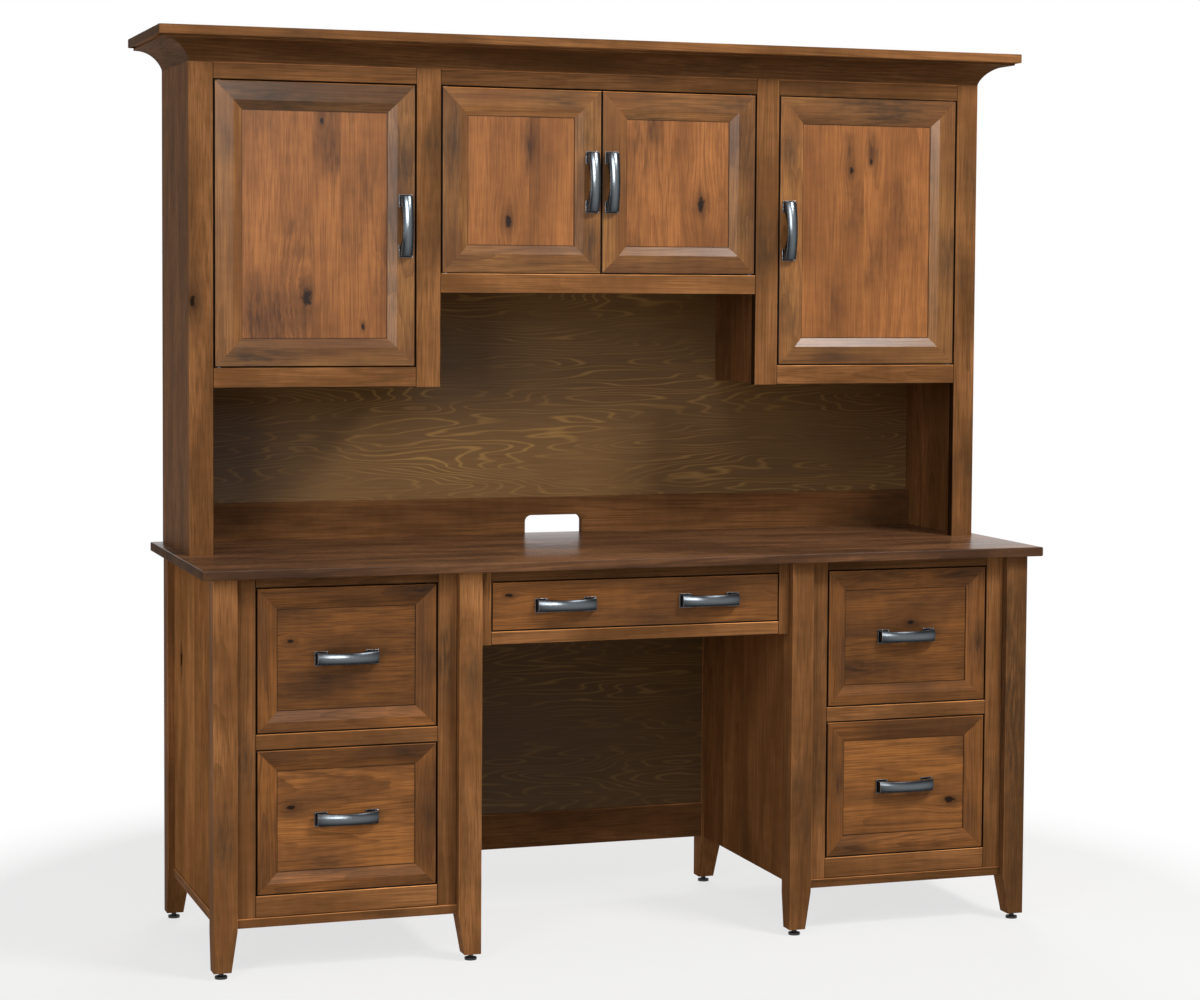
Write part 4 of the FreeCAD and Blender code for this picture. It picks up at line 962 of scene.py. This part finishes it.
def bow_pull(low, high):
    """One pull in metres, with its feet on the back of the box, along the box's longest side."""
    bm = bow_strap()
    for middle in (PLATE_HALF - PULL_HALF, PULL_HALF - PLATE_HALF):
        foot_plate(bm, middle)
    bm.normal_update()
    sharp = [e for e in bm.edges if e.is_convex and e.calc_face_angle(0) > SHARP]
    worn = bmesh.ops.bevel(bm, geom=sharp, offset=PULL_EASE, offset_type="OFFSET", segments=2,
                           profile=0.5, affect="EDGES", clamp_overlap=True, material=-1)["faces"]
    for face in worn:
        face.material_index = 1
    soft_shade(bm, worn)
    bm.normal_update()
    # the band along the crown, brightest in its middle: rubbed wear and a painted highlight
    crown_wear_and_highlight = bm.verts.layers.float.new("crown_wear_and_highlight")
    for vert in bm.verts:
        if vert.normal.z > 0.3 and vert.co.z > CROWN_LOWEST:
            over = max(0, 1 - (vert.co.y / CROWN_HALF) ** 2)
            vert[crown_wear_and_highlight] = over * (1 - (vert.co.x / CROWN_REACH) ** 4)
    upright = high.z - low.z > high.x - low.x
    along, over = (AXES[2], -AXES[0]) if upright else (AXES[0], AXES[2])
    turn = Matrix((along, over, -AXES[1])).transposed().to_4x4()
    foot = Vector(((low.x + high.x) / 2, high.y, (low.z + high.z) / 2))
    to_place = Matrix.Translation(foot) @ turn @ Matrix.Scale(MM, 4)
    bmesh.ops.transform(bm, matrix=to_place, verts=bm.verts)
    return bm


print("a pull is", 2 * PULL_HALF, "mm long and stands out", MID_RISE, "mm")

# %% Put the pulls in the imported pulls' places
def pulls_of(node):
    places = merged_copy(node)
    boxes = [extent(solid) for solid in boards_of(places)]
    places.free()
    pulls = bmesh.new()
    for low, high in boxes:
        single = bpy.data.meshes.new("single_pull")
        pull = bow_pull(low, high)
        pull.to_mesh(single)
        pull.free()
        pulls.from_mesh(single)
        bpy.data.meshes.remove(single)
    return pulls


for node in sorted(nodes):
    if node_slot[node] == "pewter":
        finished[node] = stand_for(node, pulls_of(node))
        for material in (dark_pewter, rubbed_pewter):
            finished[node].data.materials.append(material)
        print(node, [round(d / MM, 1) for d in finished[node].dimensions], "mm")

# %% [markdown]
# ## Steel and plastic
# Slides, pins, catches and levelers are bought parts with plain shapes that mostly stay out of
# sight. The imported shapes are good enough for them, so these nodes keep their own meshes and only
# take a material.

# %% Steel and plastic nodes keep their own shape
METAL = {"slide_steel": zinc_steel, "pin_steel": blackened_steel, "black_plastic": black_nylon}
kept = [node for node in sorted(nodes) if node_slot[node] in METAL]
for node in kept:
    nodes[node].data.materials.clear()
    nodes[node].data.materials.append(METAL[node_slot[node]])
print(len(kept), "nodes keep their shape:", ", ".join(kept))

# %% [markdown]
# ## Floor
# The desk stands on a pale painted floor that keeps its shadow. Further off, the floor turns into
# plain white for the camera and for reflections, so no horizon shows behind the desk. A curved
# paper sweep would do the same in a studio, but it would need its own light.

# %% A pale floor
FLOOR_HALF = 30
bm = bmesh.new()
bmesh.ops.create_grid(bm, x_segments=1, y_segments=1, size=FLOOR_HALF)
floor = object_of("pale_floor", bm)
print("the floor is", round(floor.dimensions.x), "m wide")

# %% Floor paint that fades to white
FADE_FROM, FADE_TO, LEAST_WHITE, SPECK = 0.6, 1.7, 0.72, 25 * MM
WHITE = (1, 1, 1, 1)


def seen_rays(add):
    """1 for rays from the eye, off gloss and through glass, and 0 for rays that carry light."""
    path = add("ShaderNodeLightPath", out=None)
    seen = add(MATH, {0: path["Is Camera Ray"], 1: path["Is Glossy Ray"]}, operation="ADD")
    return add(MATH, {0: seen, 1: path["Is Transmission Ray"]}, operation="ADD", use_clamp=True)


# matt paint with a faint mottle, which shows the desk's shadow
floor_paint, add = new_material("pale_floor_paint")
place = add("ShaderNodeTexCoord", out="Object")
far = add(VECTOR, {0: place}, operation="LENGTH", out="Value")
far = add(RANGE, {0: far, 1: FADE_FROM, 2: FADE_TO}, interpolation_type=SMOOTH)
far = add(MATH, {0: far, 1: LEAST_WHITE}, operation="MAXIMUM")
share = add(MATH, {0: far, 1: seen_rays(add)}, operation="MULTIPLY")
speck = add(NOISE, {"Vector": place, "Scale": 1 / SPECK, "Detail": 3})
paint = add(MIX, {0: speck, 6: linear("#e4e3e1"), 7: linear("#e9e8e6")}, data_type="RGBA", out=2)
matt = add("ShaderNodeBsdfDiffuse", {"Color": paint})
white = add("ShaderNodeEmission", {"Color": WHITE, "Strength": 1.0})
floor_shader = add("ShaderNodeMixShader", {0: share, 1: matt, 2: white})
add("ShaderNodeOutputMaterial", {"Surface": floor_shader}, out=None)
floor.data.materials.append(floor_paint)
print("the floor fades to white from", FADE_FROM, "m to", FADE_TO, "m")

# %% [markdown]
# ## White background
# The picture has a white ground. A white world at full strength would also light the desk from all
# sides and wash its shadows out. So rays that the eye sees get white, and rays that carry light get
# a much weaker glow.

# %% A white world for the eye and a soft one for the light
GLOW = 0.14
world = bpy.data.worlds.new("white_studio")
bpy.context.scene.world = world
world.use_nodes = True
world.node_tree.nodes.clear()
add = functools.partial(put, world.node_tree)
soft = add("ShaderNodeBackground", {"Color": WHITE, "Strength": GLOW})
white = add("ShaderNodeBackground", {"Color": WHITE, "Strength": 1.0})
sky = add("ShaderNodeMixShader", {0: seen_rays(add), 1: soft, 2: white})
add("ShaderNodeOutputWorld", {"Surface": sky}, out=None)
print("world:", world.name, "with a glow of", GLOW)

# %% [markdown]
# ## Studio light
# The pale slopes along the lower edges of the doors mirror a wide softbox high on the right, and
# the pale slope on the right of the left door mirrors a tall one on the left. Those two lamps stand
# where the mirror directions point, and a weaker one by the camera fills the rest. A large card
# near the camera shows in reflections only, as the sheen on the lacquer. One more lamp lights the
# back, which the picture does not show.

# %% Four softboxes and a reflector card
def softbox(name, place, aim, width, height, watts):
    lamp = bpy.data.lights.new(name, "AREA")
    lamp.shape = "RECTANGLE"
    lamp.size, lamp.size_y, lamp.energy = width, height, watts
    holder = bpy.data.objects.new(name, lamp)
    bpy.context.scene.collection.objects.link(holder)
    turn = (Vector(aim) - Vector(place)).normalized().to_track_quat("-Z", "Y")
    holder.matrix_world = Matrix.Translation(place) @ turn.to_matrix().to_4x4()
    holder.visible_camera = False
    return holder


softbox("overhead_softbox", (1.75, -2.5, 3.65), (0, 0, 1.2), 1.2, 0.75, 110)
softbox("left_softbox", (-2.15, -2.3, 1.6), (0, 0, 1.1), 0.75, 1.7, 27)
softbox("camera_fill", (-0.8, -4.6, 4.2), (0, 0, 1.1), 1.6, 0.9, 31)
card = softbox("reflector_card", (-0.95, -4.7, 3.1), (0, 0, 1.1), 2.3, 2.6, 330)
card.visible_diffuse = False
softbox("back_softbox", (1.6, 4.6, 4.4), (0, 0, 1.0), 2.4, 1.6, 110)
print(len(bpy.data.lights), "lamps, one of them a card for reflections alone")

# %% [markdown]
# ## Camera
# The camera's place was worked out from corners of the desk whose real positions are known. It
# stands to the left, a little above the middle of the desk, and looks slightly down. Aiming a
# camera by eye would come close, but the fitted place lets the model be laid over the picture.

# %% The camera of the picture
PICTURE_WIDE, PICTURE_HIGH, SENSOR = 1200, 1000, 36
FOCAL_PIXELS, CENTRE_ROW = 2715.3, 430
STAND = (-1.7956, -5.3135, 1.3307)
YAW, PITCH, ROLL = (math.radians(a) for a in (18.717, 3.164, -0.362))
ahead = Vector((math.sin(YAW) * math.cos(PITCH), math.cos(YAW) * math.cos(PITCH), -math.sin(PITCH)))
right = Vector((math.cos(YAW), -math.sin(YAW), 0))
down = ahead.cross(right)
right = right * math.cos(ROLL) + down * math.sin(ROLL)
up = -ahead.cross(right)
lens = bpy.data.cameras.new("picture_camera")
lens.sensor_fit, lens.sensor_width = "HORIZONTAL", SENSOR
lens.lens = FOCAL_PIXELS * SENSOR / PICTURE_WIDE
lens.shift_y = (CENTRE_ROW - PICTURE_HIGH / 2) / PICTURE_WIDE
camera = bpy.data.objects.new("picture_camera", lens)
turn = Matrix((right, up, -ahead)).transposed().to_4x4()
camera.matrix_world = Matrix.Translation(STAND) @ turn
bpy.context.scene.collection.objects.link(camera)
bpy.context.scene.camera = camera
bpy.context.scene.view_settings.view_transform = "Standard"
print("lens", round(lens.lens, 1), "mm, shift", round(lens.shift_y, 3))
